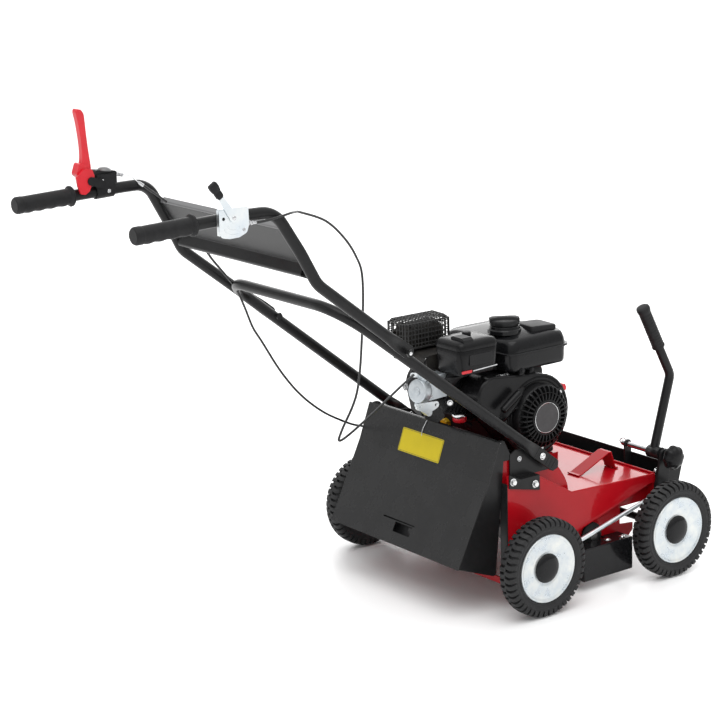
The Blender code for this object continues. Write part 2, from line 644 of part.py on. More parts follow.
# cables
tc = tube("throttle_cable", spline([(226.5, -600.5, 855.8), (229, -585, 857), (231.5, -565, 861),
                                    (231.5, -545, 866), (224, -527, 869), (207, -505, 863),
                                    (190, -482, 854), (170, -415, 828), (155, -365, 790), (145, -330, 748),
                                    (136, -309, 701), (120, -301, 597), (100, -302, 474), (89, -333, 400),
                                    (84, -336, 379), (78, -305, 386), (68, -238, 415), (60, -170, 449),
                                    (57, -131, 468)], 50), 2.4, 2)
finish(tc, 'rubber')
cc = tube("clutch_cable", spline([(-205, -611.6, 892.4), (-204, -598, 889), (-198, -574, 880), (-190, -553, 836),
                                  (-173, -529, 778), (-162, -504, 722), (-156, -460, 676), (-160, -399, 635),
                                  (-178, -357, 567), (-196, -318, 521), (-210, -279, 468), (-217, -251, 432),
                                  (-218, -222, 397), (-218, -190, 366), (-219, -152, 337), (-219, -114, 315),
                                  (-219, -84, 300), (-219, -58, 291), (-220, -25, 281), (-220, 5, 275),
                                  (-222, 45, 272.5), (-227.5, 74, 257), (-229.6, 100, 238)], 56), 2.4, 2)
finish(cc, 'rubber')

# ================================================================== engine
HEAD_TILT = math.radians(-24)


def on_cylinder(ob):
    """Moves a piece made along -Y from the origin onto the inclined cylinder."""
    ob.data.transform(Matrix.Translation((0, -Y0 * MM, 0)))
    ob.data.transform(Matrix.Rotation(HEAD_TILT, 4, 'X'))
    ob.data.transform(Matrix.Translation(P(0, 136, 352)))
    return ob


eb = box("engine_block", -113, 60, 62, 210, 256, 432)
bevel(eb, 12, 2)
bake(eb)
base = box("eb_base", -105, 78, 52, 218, PLATFORM_Z + 0.3, 259.4)
bevel(base, 3, 1)
cyl = box("eb_cyl", -58, 42, -178, 0, -52, 52)
bevel(cyl, 6, 1)
shroud = box("eb_shroud", -92, 57, 50, 200, 425, 447.6)
bevel(shroud, 6, 1)
weld(eb, bake(base), on_cylinder(bake(cyl)), bake(shroud),
     rod("eb_seat", (-125, *CRANK), (-90, *CRANK), 22, 20))
weld(eb, rod("eb_shaft", (-140, *CRANK), (-60, *CRANK), 9.9, 18), op='DIFFERENCE')
finish(eb, 'cast')

rc = box("rocker_cover", -52, 38, -214, -178.4, -36, 36)
bevel(rc, 8, 2)
finish(on_cylinder(bake(rc)), 'black')

fan = hull([(CRANK[0], CRANK[1], 84), (20, 409, 38)], 30)
fh = plate("fan_housing", 'x', fan, 60.4, 120)
bevel(fh, 8, 1)
bake(fh)
weld(fh, box("fh_cut", 55, 125, -60, 260, 200, PLATFORM_Z + 14), op='DIFFERENCE')
finish(fh, 'plastic')

rec = turned("recoil_cover", [(0, 30), (20, 30), (22, 28), (48, 25), (62, 17), (66, 10), (66, 0), (0, 0)],
             (120.4, *CRANK), (1, 0, 0), 32, closed=False)
finish(rec, 'plastic')

sg = rod("starter_grip", (136, 29, 380), (136, 77, 411.5), 7.5, 14)
bevel(sg, 3, 1)
finish(bake(sg), 'rubber', (136, 53, 395.8))

sw = box("engine_switch", 100, 116, 211, 220, 379, 402)
sw.data.transform(Matrix.Translation(-P(108, 211, 390)))
sw.data.transform(Matrix.Rotation(math.radians(30), 4, 'X'))
sw.data.transform(Matrix.Translation(P(108, 213.6, 391.5)))
finish(sw, 'lever_red')

ft = box("fuel_tank", -92, 130, 55, 224, 448, 534)
bevel(ft, 16, 3)
finish(bake(ft), 'plastic')
fc = turned("fuel_cap", [(0, 20), (22, 19.5), (27, 15), (28, 4), (26, 0), (0, 0)],
            (60, 98, 534.4), (0, 0, 1), 24, closed=False)
finish(fc, 'plastic', (60, 98, 534.4))

af = box("air_filter_box", 44, 130, -72, 30, 464, 536)
bevel(af, 12, 2)
finish(bake(af), 'plastic')

mu = box("muffler", -58, -8, -98, 4, 486, 545)
bevel(mu, 12, 2)
bake(mu)
weld(mu, rod("mu_pipe", (-30, -6, 472.4), (-30, -6, 495), 9, 14))
finish(mu, 'exhaust')

bars = []
gx0, gx1, gy0, gy1, gz0, gz1 = -66.0, -1.0, -106.0, 14.0, 500.0, 560.0
gw = 3.0
mg = box("muffler_guard", gx0, gx1, gy0, gy0 + gw, gz1 - gw, gz1)
for x in (gx0, gx1 - gw):
    bars.append(box("mgx", x, x + gw, gy0, gy1, gz1 - gw, gz1))
    bars.append(box("mgy", x, x + gw, gy0, gy1, gz0, gz0 + gw))
for y in (gy1 - gw,):
    bars.append(box("mgz", gx0, gx1, y, y + gw, gz1 - gw, gz1))
for y in (gy0, gy1 - gw):
    bars.append(box("mga", gx0, gx1, y, y + gw, gz0, gz0 + gw))
for x in (gx0, gx1 - gw):
    for y in (gy0, gy1 - gw):
        bars.append(box("mgb", x, x + gw, y, y + gw, gz0, gz1))
for k in range(1, 4):
    x = gx0 + (gx1 - gx0) * k / 4
    bars.append(box("mgc", x, x + gw, gy0 + 0.2, gy1 - 0.2, gz1 - gw + 0.2, gz1 - 0.2))
    bars.append(box("mgd", x, x + gw, gy0 + 0.2, gy0 + gw - 0.2, gz0 + 1, gz1 - 1))
for k in range(1, 4):
    y = gy0 + (gy1 - gy0) * k / 4
    bars.append(box("mge", gx0 + 0.2, gx1 - 0.2, y, y + gw, gz1 - gw + 0.4, gz1 - 0.4))
    bars.append(box("mgf", gx1 - gw + 0.2, gx1 - 0.2, y, y + gw, gz0 + 1, gz1 - 1))
bars.append(box("mgt", -38, -26, 4.4, gy1 - 0.5, 505, 508))
bars.append(box("mgt2", -33.5, -30.5, gy1 - 2.8, gy1 - 0.3, gz0 + 0.5, 507))
weld(mg, *bars)
finish(mg, 'black')

cb = rod("carburettor", (57, -127, 432), (57, -103, 432), 22, 24)
weld(cb, box("cb_body", 43.5, 70, -105, -45, 411, 463.4),
     rod("cb_post", (57, -126, 461.2), (57, -104.5, 461.2), 4.5, 12))
finish(cb, 'cast')

ds = turned("dipstick", [(0, 16), (8, 15), (11, 11), (11, 3), (7, 0), (0, 0)], (-80, 61.6, 303), (0, -1, 0),
            18, closed=False)
finish(ds, 'yellow', (-80, 61.6, 303))

# ================================================================== drive
cs = rod("crankshaft", (-112, *CRANK), (-247, *CRANK), 9.5, 20)
finish(cs, 'steel', (-180, *CRANK))


def vee(name, r, c, bore, x=BELT_X, hub=None):
    prof = [(r, 8), (r, 6.8), (r - 9, 4.7), (r - 9, -4.7), (r, -6.8), (r, -8), (bore, -8), (bore, 8)]
    return turned(name, prof, (x, *c), (1, 0, 0), 28)


finish(vee("crank_pulley", PULLEY_R1, CRANK, 9.9), 'cast', (BELT_X, *CRANK))
finish(vee("rotor_pulley", PULLEY_R2, ROTOR, 10.4), 'cast', (BELT_X, *ROTOR))
ip = turned("idler_pulley", [(PULLEY_RI, 5.5), (PULLEY_RI, -5.5), (4.4, -5.5), (4.4, 5.5)],
            (BELT_X, *IDLER_C), (1, 0, 0), 28)
finish(ip, 'cast', (BELT_X, *IDLER_C))
ia = plate("idler_arm", 'x', hull([(*IDLER_PIVOT, 9), (*IDLER_C, 7)], 20), -230.0, -227.2,
           [(*IDLER_PIVOT, 4.4)])
weld(ia, rod("ia_pin", (-228, *IDLER_C), (-243, *IDLER_C), 4.0, 14))
finish(ia, 'steel', (-228, *IDLER_PIVOT))

outer_loop = hull([(*CRANK, PULLEY_R1 + 1), (*ROTOR, PULLEY_R2 + 1)], 36)
inner_loop = hull([(*CRANK, PULLEY_R1 - 7), (*ROTOR, PULLEY_R2 - 7)], 36)
db = plate("drive_belt", 'x', outer_loop, BELT_X - 4.4, BELT_X + 4.4, [inner_loop])
finish(db, 'rubber')

ro = rod("rotor", (-247, *ROTOR), (213, *ROTOR), 10.0, 18)
for k in range(13):
    x = -174 + k * 29
    a0 = math.radians(30 * (k % 3))
    out = []
    for j in range(4):
        a = a0 + j * math.pi / 2
        for da, rr in ((-0.55, 20), (-0.04, 76), (0.05, ROTOR_R), (0.11, 74)):
            out.append((ROTOR[0] + rr * math.cos(a + da), ROTOR[1] + rr * math.sin(a + da)))
    weld(ro, plate("knife%02d" % k, 'x', out, x - 1.5, x + 1.5))
finish(ro, 'steel', (0, *ROTOR))

for nm, s in (("right", 1), ("left", -1)):
    b = turned("rotor_bearing_" + nm, [(15, 12), (27, 4), (27, 0), (10.4, 0), (10.4, 12)],
               (s * 203.3, *ROTOR), (s, 0, 0), 24)
    finish(b, 'cast')

cover_o = hull([(*CRANK, 42), (*ROTOR, 53)], 32)
cover_i = hull([(*CRANK, 39.5), (*ROTOR, 50.5)], 32)
bc = plate("belt_cover", 'x', cover_o, -262, -225.6)
bevel(bc, 4, 1)
bake(bc)
weld(bc, plate("bc_in", 'x', cover_i, -259.5, -220), op='DIFFERENCE')
finish(bc, 'black')
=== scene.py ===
"""Petrol lawn aerator: the visual model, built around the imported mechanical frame."""

import json
import math
import random

import bpy
import bmesh
from mathutils import Matrix, Vector
from mathutils.geometry import tessellate_polygon


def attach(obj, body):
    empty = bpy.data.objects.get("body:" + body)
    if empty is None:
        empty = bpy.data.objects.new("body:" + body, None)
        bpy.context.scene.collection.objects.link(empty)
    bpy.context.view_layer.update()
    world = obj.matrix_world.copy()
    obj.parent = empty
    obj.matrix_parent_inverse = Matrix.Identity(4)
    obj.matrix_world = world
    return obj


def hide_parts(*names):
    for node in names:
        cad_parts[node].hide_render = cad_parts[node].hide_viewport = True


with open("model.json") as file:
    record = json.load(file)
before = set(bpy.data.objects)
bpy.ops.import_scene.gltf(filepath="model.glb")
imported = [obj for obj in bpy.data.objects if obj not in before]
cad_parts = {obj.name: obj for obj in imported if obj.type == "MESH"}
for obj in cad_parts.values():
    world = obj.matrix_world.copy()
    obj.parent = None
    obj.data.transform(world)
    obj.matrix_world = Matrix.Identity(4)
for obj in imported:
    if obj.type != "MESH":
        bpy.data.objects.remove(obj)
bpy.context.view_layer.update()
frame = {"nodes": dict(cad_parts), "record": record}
NODES = frame["nodes"]
BODY = {}
for _body, _members in frame["record"]["behaviour"]["bodies"].items():
    for _member in _members:
        BODY[_member] = _body
random.seed(11)

# Every length below is in millimetres, with y from the rear wheels' axle.
Y0 = 193.0


def V(x, y, z):
    return Vector((x / 1000, (y + Y0) / 1000, z / 1000))


# ---------------------------------------------------------------- materials
def finish(name, base, other, rough=(0.3, 0.45), metal=0.0, coat=0.0, coat_rough=0.05, grain=60,
           relief=0.1, relief_size=500, specular=0.5, blotch=0.5, dust=None, streak=None, sheen=0.0):
    """A finish whose colour drifts between two tones, with uneven gloss and a fine relief."""
    m = bpy.data.materials.new(name)
    m.use_nodes = True
    t = m.node_tree
    t.nodes.clear()
    out = t.nodes.new("ShaderNodeOutputMaterial")
    p = t.nodes.new("ShaderNodeBsdfPrincipled")
    t.links.new(p.outputs[0], out.inputs[0])
    c = t.nodes.new("ShaderNodeTexCoord")
    place = t.nodes.new("ShaderNodeMapping")
    t.links.new(c.outputs["Object"], place.inputs[0])
    if streak:
        place.inputs["Scale"].default_value = streak
    n = t.nodes.new("ShaderNodeTexNoise")
    n.inputs["Scale"].default_value = grain
    n.inputs["Detail"].default_value = 6
    n.inputs["Roughness"].default_value = 0.62
    t.links.new(place.outputs[0], n.inputs["Vector"])
    ramp = t.nodes.new("ShaderNodeValToRGB")
    ramp.color_ramp.elements[0].position = 0.5 - blotch / 2
    ramp.color_ramp.elements[1].position = 0.5 + blotch / 2
    ramp.color_ramp.elements[0].color = (*base, 1)
    ramp.color_ramp.elements[1].color = (*other, 1)
    t.links.new(n.outputs["Fac"], ramp.inputs[0])
    colour = ramp.outputs[0]
    if dust:
        n3 = t.nodes.new("ShaderNodeTexNoise")
        n3.inputs["Scale"].default_value = 9
        n3.inputs["Detail"].default_value = 8
        t.links.new(c.outputs["Object"], n3.inputs["Vector"])
        r3 = t.nodes.new("ShaderNodeMapRange")
        r3.inputs["From Min"].default_value = 0.45
        r3.inputs["From Max"].default_value = 0.75
        r3.inputs["To Max"].default_value = dust[1]
        t.links.new(n3.outputs["Fac"], r3.inputs["Value"])
        mix = t.nodes.new("ShaderNodeMix")
        mix.data_type = "RGBA"
        t.links.new(r3.outputs[0], mix.inputs[0])
        t.links.new(colour, mix.inputs[6])
        mix.inputs[7].default_value = (*dust[0], 1)
        colour = mix.outputs[2]
    t.links.new(colour, p.inputs["Base Color"])
    n2 = t.nodes.new("ShaderNodeTexNoise")
    n2.inputs["Scale"].default_value = relief_size
    n2.inputs["Detail"].default_value = 3
    t.links.new(place.outputs[0], n2.inputs["Vector"])
    r = t.nodes.new("ShaderNodeMapRange")
    r.inputs["To Min"].default_value = rough[0]
    r.inputs["To Max"].default_value = rough[1]
    t.links.new(n.outputs["Fac"], r.inputs["Value"])
    t.links.new(r.outputs[0], p.inputs["Roughness"])
    b = t.nodes.new("ShaderNodeBump")
    b.inputs["Strength"].default_value = relief
    b.inputs["Distance"].default_value = 0.0006
    t.links.new(n2.outputs["Fac"], b.inputs["Height"])
    t.links.new(b.outputs[0], p.inputs["Normal"])
    p.inputs["Metallic"].default_value = metal
    p.inputs["Specular IOR Level"].default_value = specular
    p.inputs["Coat Weight"].default_value = coat
    p.inputs["Coat Roughness"].default_value = coat_rough
    p.inputs["Sheen Weight"].default_value = sheen
    return m


RED = finish("red_gloss_paint", (0.33, 0.002, 0.006), (0.40, 0.004, 0.010), (0.24, 0.34), coat=0.32,
             coat_rough=0.03, grain=14, relief=0.02, relief_size=350, specular=0.10)
BLACK = finish("black_powder_coat", (0.0075, 0.0075, 0.008), (0.013, 0.013, 0.0135), (0.24, 0.36),
               grain=40, relief=0.14, relief_size=900, specular=0.22)
BLACK_GLOSS = finish("black_gloss_paint", (0.006, 0.006, 0.0065), (0.010, 0.010, 0.011), (0.14, 0.22),
                     coat=0.12, coat_rough=0.08, grain=30, relief=0.05, relief_size=500, specular=0.16)
CHARCOAL = finish("charcoal_panel", (0.0125, 0.0125, 0.0128), (0.0180, 0.0180, 0.0184), (0.22, 0.32),
                  grain=18, relief=0.06, relief_size=900, specular=0.30, dust=((0.024, 0.024, 0.024), 0.35))
# painted sky reflection: the tray's top is the same black coat as its channel, made grey to stand for the bright sky
# it reflects
GREY_PAINTED_SKY_REFLECTION = finish("tray_satin_grey", (0.108, 0.109, 0.112), (0.134, 0.135, 0.137), (0.26, 0.36),
                   grain=30, relief=0.12, relief_size=900, specular=0.85)
TYRE = finish("tyre_rubber", (0.013, 0.013, 0.0137), (0.021, 0.021, 0.022), (0.50, 0.70), grain=55,
              relief=0.3, relief_size=420, specular=0.30, dust=((0.036, 0.036, 0.035), 0.4))
GRIP = finish("grip_rubber", (0.010, 0.010, 0.0105), (0.017, 0.017, 0.018), (0.42, 0.60), grain=80,
              relief=0.25, relief_size=700, specular=0.20)
ZINC = finish("zinc_plate", (0.56, 0.63, 0.69), (0.84, 0.85, 0.83), (0.22, 0.42), metal=0.88, grain=26,
              relief=0.06, relief_size=500, blotch=0.7)
ZINC_DISC = finish("zinc_wheel_disc", (0.44, 0.515, 0.59), (0.80, 0.80, 0.75), (0.20, 0.38), metal=0.62,
                   grain=30, relief=0.06, relief_size=400, blotch=0.55)
STEEL = finish("bright_steel", (0.42, 0.43, 0.44), (0.66, 0.66, 0.67), (0.16, 0.32), metal=1.0, grain=70,
               relief=0.08, relief_size=800)
CHROME = finish("chromed_steel", (0.62, 0.63, 0.64), (0.80, 0.80, 0.80), (0.05, 0.14), metal=1.0, grain=60,
                relief=0.02, relief_size=500)
CAST = finish("cast_aluminium", (0.40, 0.44, 0.47), (0.60, 0.63, 0.65), (0.32, 0.5), metal=0.85, grain=60,
              relief=0.5, relief_size=420)
CAST_BLACK = finish("black_cast_metal", (0.006, 0.006, 0.0065), (0.013, 0.013, 0.014), (0.36, 0.55),
                    grain=60, relief=0.5, relief_size=420, specular=0.25)
PLASTIC = finish("black_moulded_plastic", (0.006, 0.006, 0.0064), (0.0095, 0.0095, 0.0102), (0.20, 0.30),
                 grain=40, relief=0.10, relief_size=1100, specular=0.17)
PLASTIC_TANK = finish("black_tank_plastic", (0.0052, 0.0054, 0.0060), (0.0085, 0.0087, 0.0095), (0.11, 0.20),
                      grain=25, relief=0.07, relief_size=900, specular=0.22)
PLASTIC_MATT = finish("black_matt_plastic", (0.008, 0.008, 0.0085), (0.014, 0.014, 0.015), (0.42, 0.58),
                      grain=60, relief=0.25, relief_size=900, specular=0.22)
PLASTIC_RED = finish("red_moulded_plastic", (0.56, 0.010, 0.020), (0.66, 0.014, 0.026), (0.24, 0.38),
                     grain=30, relief=0.10, relief_size=800)
PLASTIC_YELLOW = finish("yellow_moulded_plastic", (0.72, 0.42, 0.01), (0.82, 0.50, 0.02), (0.3, 0.45),
                        grain=40, relief=0.15, relief_size=800)
PLATE_YELLOW = finish("yellow_plate_print", (0.51, 0.40, 0.006), (0.57, 0.45, 0.010), (0.25, 0.35),
                      grain=30, relief=0.05, relief_size=700, specular=0.3)
PLATE_LINE = finish("plate_border_ink", (0.02, 0.018, 0.01), (0.035, 0.03, 0.02), (0.35, 0.5), grain=60)
BADGE = finish("badge_foil", (0.030, 0.028, 0.029), (0.046, 0.043, 0.045), (0.12, 0.22), metal=0.35,
               grain=50, relief=0.04, relief_size=600)
HEAT = finish("exhaust_steel", (0.010, 0.010, 0.010), (0.030, 0.026, 0.022), (0.45, 0.7), metal=0.3,
              grain=45, relief=0.5, relief_size=350)
WIRE = finish("black_wire", (0.006, 0.006, 0.006), (0.014, 0.014, 0.014), (0.3, 0.45), grain=80,
              relief=0.2, relief_size=700)
KNIFE = finish("knife_steel", (0.20, 0.20, 0.21), (0.36, 0.35, 0.34), (0.3, 0.5), metal=1.0, grain=50,
               relief=0.25, relief_size=500)
BELT = finish("belt_rubber", (0.012, 0.012, 0.012), (0.022, 0.022, 0.022), (0.6, 0.8), grain=60,
              relief=0.4, relief_size=500)
SHEATH = finish("cable_sheath", (0.007, 0.007, 0.0075), (0.013, 0.013, 0.014), (0.28, 0.42), grain=90,
                relief=0.15, relief_size=900)


# ---------------------------------------------------------------- geometry
class Geo:
    def __init__(self):
        self.v, self.f = [], []

    def put(self, verts, faces):
        n = len(self.v)
        self.v += [Vector(p) for p in verts]
        self.f += [tuple(i + n for i in q) for q in faces]
        return self

    def __add__(self, other):
        g = Geo()
        g.put(self.v, self.f)
        g.put(other.v, other.f)
        return g

    def map(self, fn):
        g = Geo()
        g.v = [Vector(fn(p)) for p in self.v]
        g.f = list(self.f)
        return g


def joined(parts):
    g = Geo()
    for part in parts:
        g.put(part.v, part.f)
    return g


def basis(axis):
    w = Vector(axis).normalized()
    u = w.orthogonal().normalized() if abs(w.x) < 0.9 else Vector((0, 0, 1)).cross(w).normalized()
    if abs(w.x) > 0.9:
        u = Vector((0, 1, 0)) - w * w.y
        u.normalize()
    return u, w.cross(u), w


def lathe(profile, centre, axis, steps=48, turn=0.0, start=0.0, sweep=360.0):
    """Closed solid of revolution: profile is (radius, height) along axis."""
    u, v, w = basis(axis)
    c = Vector(centre)
    g = Geo()
    rows = []
    full = sweep > 359.9
    for r, h in profile:
        if r < 1e-6:
            g.v.append(c + w * h)
            rows.append([len(g.v) - 1])
        else:
            row = []
            for k in range(steps if full else steps + 1):
                a = math.radians(turn + start) + math.radians(sweep) * k / steps
                g.v.append(c + w * h + (u * math.cos(a) + v * math.sin(a)) * r)
                row.append(len(g.v) - 1)
            rows.append(row)
    n = len(rows)
    count = n if profile[0][0] > 1e-6 or profile[-1][0] > 1e-6 else n - 1
    if profile[0][0] < 1e-6 and profile[-1][0] > 1e-6 or profile[0][0] > 1e-6 and profile[-1][0] < 1e-6:
        count = n
    for i in range(count):
        a, b = rows[i], rows[(i + 1) % n]
        for k in range(steps):
            k2 = (k + 1) % steps if full else k + 1
            if len(a) > 1 and len(b) > 1:
                g.f.append((a[k], a[k2], b[k2], b[k]))
            elif len(a) > 1:
                g.f.append((a[k], a[k2], b[0]))
            elif len(b) > 1:
                g.f.append((a[0], b[k2], b[k]))
    if not full:
        g.f.append(tuple(row[0] for row in rows))
        g.f.append(tuple(row[-1] for row in reversed(rows)))
    return g


def sweep(path, section, side=(1, 0, 0), caps=True, closed=False):
    """Sweeps section(i, share) -> [(a, b)] along path; a is measured along the side direction."""
    path = [Vector(p) for p in path]
    n = len(path)
    tangents = []
    for i in range(n):
        a = path[i - 1] if i or closed else path[0]
        b = path[(i + 1) % n] if i < n - 1 or closed else path[-1]
        tangents.append((b - a).normalized())
    s = Vector(side)
    s = (s - tangents[0] * s.dot(tangents[0])).normalized()
    lengths = [0.0]
    for i in range(1, n):
        lengths.append(lengths[-1] + (path[i] - path[i - 1]).length)
    g = Geo()
    rows = []
    for i in range(n):
        if i:
            q = tangents[i - 1].rotation_difference(tangents[i])
            s = q @ s
            s = (s - tangents[i] * s.dot(tangents[i])).normalized()
        o = tangents[i].cross(s)
        row = []
        for a, b in section(i, lengths[i] / lengths[-1], lengths[i]):
            g.v.append(path[i] + s * a + o * b)
            row.append(len(g.v) - 1)
        rows.append(row)
    m = len(rows[0])
    for i in range(n if closed else n - 1):
        a, b = rows[i], rows[(i + 1) % n]
        for k in range(m):
            g.f.append((a[k], a[(k + 1) % m], b[(k + 1) % m], b[k]))
    if caps and not closed:
        g.f.append(tuple(reversed(rows[0])))
        g.f.append(tuple(rows[-1]))
    return g


def circle(r, n=20):
    return [(r * math.cos(math.tau * k / n), r * math.sin(math.tau * k / n)) for k in range(n)]


def tube(path, r, n=20, side=(1, 0, 0), closed=False):
    ring = circle(1.0, n)
    if callable(r):
        return sweep(path, lambda i, t, d: [(a * r(t), b * r(t)) for a, b in ring], side, closed=closed)
    return sweep(path, lambda i, t, d: [(a * r, b * r) for a, b in ring], side, closed=closed)


def rod(a, b, r, n=20):
    a, b = Vector(a), Vector(b)
    w = b - a
    c = min(0.6, r * 0.25)
    length = w.length
    return lathe([(0, 0), (r - c, 0), (r, c), (r, length - c), (r - c, length), (0, length)], a, w, n)


def spline(points, each=8):
    p = [Vector(q) for q in points]
    p = [p[0] * 2 - p[1]] + p + [p[-1] * 2 - p[-2]]
    out = []
    for i in range(1, len(p) - 2):
        for k in range(each):
            t = k / each
            a, b, c, d = p[i - 1], p[i], p[i + 1], p[i + 2]
            out.append(0.5 * (2 * b + (c - a) * t + (2 * a - 5 * b + 4 * c - d) * t * t + (3 * b - a - 3 * c + d) * t ** 3))
    out.append(p[-2])
    return out


def fillet(points, radii, each=8):
    """A polyline whose inner corners become arcs."""
    p = [Vector(q) for q in points]
    if not hasattr(radii, "__len__"):
        radii = [radii] * (len(p) - 2)
    out = [p[0]]
    for i in range(1, len(p) - 1):
        a, b, c = p[i - 1], p[i], p[i + 1]
        u, v = (a - b).normalized(), (c - b).normalized()
        ang = u.angle(v)
        r = radii[i - 1]
        if r < 1e-6 or ang > math.pi - 1e-3:
            out.append(b)
            continue
        d = min(r / math.tan(ang / 2), (a - b).length * 0.49, (c - b).length * 0.49)
        r = d * math.tan(ang / 2)
        mid = b + (u + v).normalized() * (r / math.sin(ang / 2))
        start, end = b + u * d - mid, b + v * d - mid
        turn = start.angle(end)
        for k in range(each + 1):
            t = k / each
            out.append(mid + (start * math.sin((1 - t) * turn) + end * math.sin(t * turn)) / math.sin(turn))
    out.append(p[-1])
    return out


def resample(path, gap):
    path = [Vector(p) for p in path]
    out = [path[0]]
    for a, b in zip(path, path[1:]):
        k = max(1, int(math.ceil((b - a).length / gap)))
        out += [a.lerp(b, (i + 1) / k) for i in range(k)]
    return out


def rounded(outline, radii, each=5):
    """A closed flat outline with its corners rounded."""
    n = len(outline)
    if not hasattr(radii, "__len__"):
        radii = [radii] * n
    out = []
    for i in range(n):
        a, b, c = (Vector((*outline[(i + k) % n][:2], 0)) for k in (-1, 0, 1))
        u, v = (a - b).normalized(), (c - b).normalized()
        ang = u.angle(v)
        r = radii[i]
        if r < 1e-6 or ang > math.pi - 0.02:
            out.append((b.x, b.y))
            continue
        d = min(r / math.tan(ang / 2), (a - b).length * 0.49, (c - b).length * 0.49)
        r = d * math.tan(ang / 2)
        mid = b + (u + v).normalized() * (r / math.sin(ang / 2))
        start, end = b + u * d - mid, b + v * d - mid
        turn = start.angle(end)
        for k in range(each + 1):
            t = k / each
            q = mid + (start * math.sin((1 - t) * turn) + end * math.sin(t * turn)) / math.sin(turn)
            out.append((q.x, q.y))
    return out


def disc(cy, cz, r, n=24):
    return [(cy + r * math.cos(math.tau * k / n), cz + r * math.sin(math.tau * k / n)) for k in range(n)]


def to_yz(a, b, h):
    return (h, a, b)


def to_xz(a, b, h):
    return (a, h, b)


def to_xy(a, b, h):
    return (a, b, h)


def plate(outline, h0, h1, way=to_yz, holes=()):
    """A flat plate of any outline with holes, from h0 to h1 across its plane."""
    loops = [list(outline)] + [list(h) for h in holes]
    flat = [p for loop in loops for p in loop]
    tris = tessellate_polygon([[Vector((a, b, 0)) for a, b in loop] for loop in loops])
    n = len(flat)
    g = Geo()
    for h in (h0, h1):
        g.v += [Vector(way(a, b, h)) for a, b in flat]
    for t in tris:
        g.f.append(tuple(t))
        g.f.append(tuple(i + n for i in reversed(t)))
    at = 0
    for loop in loops:
        m = len(loop)
        for k in range(m):
            i, j = at + k, at + (k + 1) % m
            g.f.append((i, j, j + n, i + n))
        at += m
    return g


def hull_outline(circles, n=40):
    """The outline round circles given as (a, b, radius)."""
    pts = []
    for a, b, r in circles:
        pts += disc(a, b, r, n)
    pts = sorted(set((round(a, 4), round(b, 4)) for a, b in pts))

    def half(seq):
        out = []
        for p in seq:
            while len(out) > 1 and (out[-1][0] - out[-2][0]) * (p[1] - out[-2][1]) - (out[-1][1] - out[-2][1]) * (p[0] - out[-2][0]) <= 0:
                out.pop()
            out.append(p)
        return out

    low, high = half(pts), half(reversed(pts))
    return low[:-1] + high[:-1]


def block(x0, x1, y0, y1, z0, z1):
    v = [(x, y, z) for x in (x0, x1) for y in (y0, y1) for z in (z0, z1)]
    f = [(0, 1, 3, 2), (4, 6, 7, 5), (0, 4, 5, 1), (2, 3, 7, 6), (0, 2, 6, 4), (1, 5, 7, 3)]
    return Geo().put(v, f)


def rings(loops):
    """A closed skin through loops that all have as many points."""
    g = Geo()
    m = len(loops[0])
    for loop in loops:
        g.v += [Vector(p) for p in loop]
    for i in range(len(loops) - 1):
        for k in range(m):
            a, b = i * m + k, i * m + (k + 1) % m
            g.f.append((a, b, b + m, a + m))
    g.f.append(tuple(reversed(range(m))))
    g.f.append(tuple(range((len(loops) - 1) * m, len(loops) * m)))
    return g


def soft_rect(x0, x1, y0, y1, r, n=6):
    """Outline of a rectangle with round corners, n + 1 points to a corner."""
    r = max(0.01, min(r, (x1 - x0) / 2 - 0.01, (y1 - y0) / 2 - 0.01))
    out = []
    for cx, cy, a0 in ((x1 - r, y1 - r, 0), (x0 + r, y1 - r, 90), (x0 + r, y0 + r, 180), (x1 - r, y0 + r, 270)):
        for k in range(n + 1):
            a = math.radians(a0 + 90 * k / n)
            out.append((cx + r * math.cos(a), cy + r * math.sin(a)))
    return out


def hexbolt(at, axis, r=6.5, h=4.5, washer=None, shank=0.0):
    """Hexagon head with a chamfered top and, if asked, a washer."""
    w = Vector(axis).normalized()
    g = Geo()
    base = Vector(at)
    if washer:
        g = g + lathe([(r * 0.5, 0), (washer - 0.3, 0), (washer, 0.3), (washer, 1.1), (washer - 0.4, 1.5), (r * 0.5, 1.5)], base, w, 32)
        base = base + w * 1.5
    g = g + lathe([(0, 0), (r, 0), (r, h - 0.9), (r * 0.84, h), (0, h)], base, w, 6, turn=15)
    g = g + lathe([(0, h - 0.5), (r * 0.80, h - 0.5), (r * 0.80, h + 0.1), (r * 0.72, h + 0.3), (0, h + 0.35)], base, w, 24)
    if shank:
        g = g + lathe([(0, -shank), (r * 0.5, -shank), (r * 0.5, 0.2), (0, 0.2)], base, w, 16)
    return g


def domebolt(at, axis, r=7.0, h=4.6, flange=None):
    """Round-headed bolt, on a flange if asked."""
    g = lathe([(0, 0), (r, 0), (r, 0.7), (r * 0.93, h * 0.5), (r * 0.72, h * 0.8), (r * 0.4, h * 0.96), (0, h)], at, axis, 28)
    if flange:
        g = g + lathe([(0, -0.2), (flange, -0.2), (flange, 0.7), (flange * 0.93, 1.2), (0, 1.2)], at, axis, 32)
    return g


def crosshead(at, axis, r=4.2, h=2.4):
    """Pan head with a cross recess, made from four raised quarters."""
    u, v, w = basis(axis)
    g = lathe([(0, 0), (r, 0), (r, h * 0.4), (r * 0.9, h * 0.62), (0, h * 0.62)], at, axis, 28)
    for k in range(4):
        a = math.radians(90 * k + 45)
        c = Vector(at) + (u * math.cos(a) + v * math.sin(a)) * r * 0.46 + w * h * 0.5
        g = g + lathe([(0, 0), (r * 0.36, 0), (r * 0.34, h * 0.35), (r * 0.22, h * 0.5), (0, h * 0.5)], c, axis, 10)
    return g


# ---------------------------------------------------------------- pieces
MADE = []


def smooth_shade(me, limit):
    me.polygons.foreach_set("use_smooth", [True] * len(me.polygons))
    me.set_sharp_from_angle(angle=math.radians(limit))


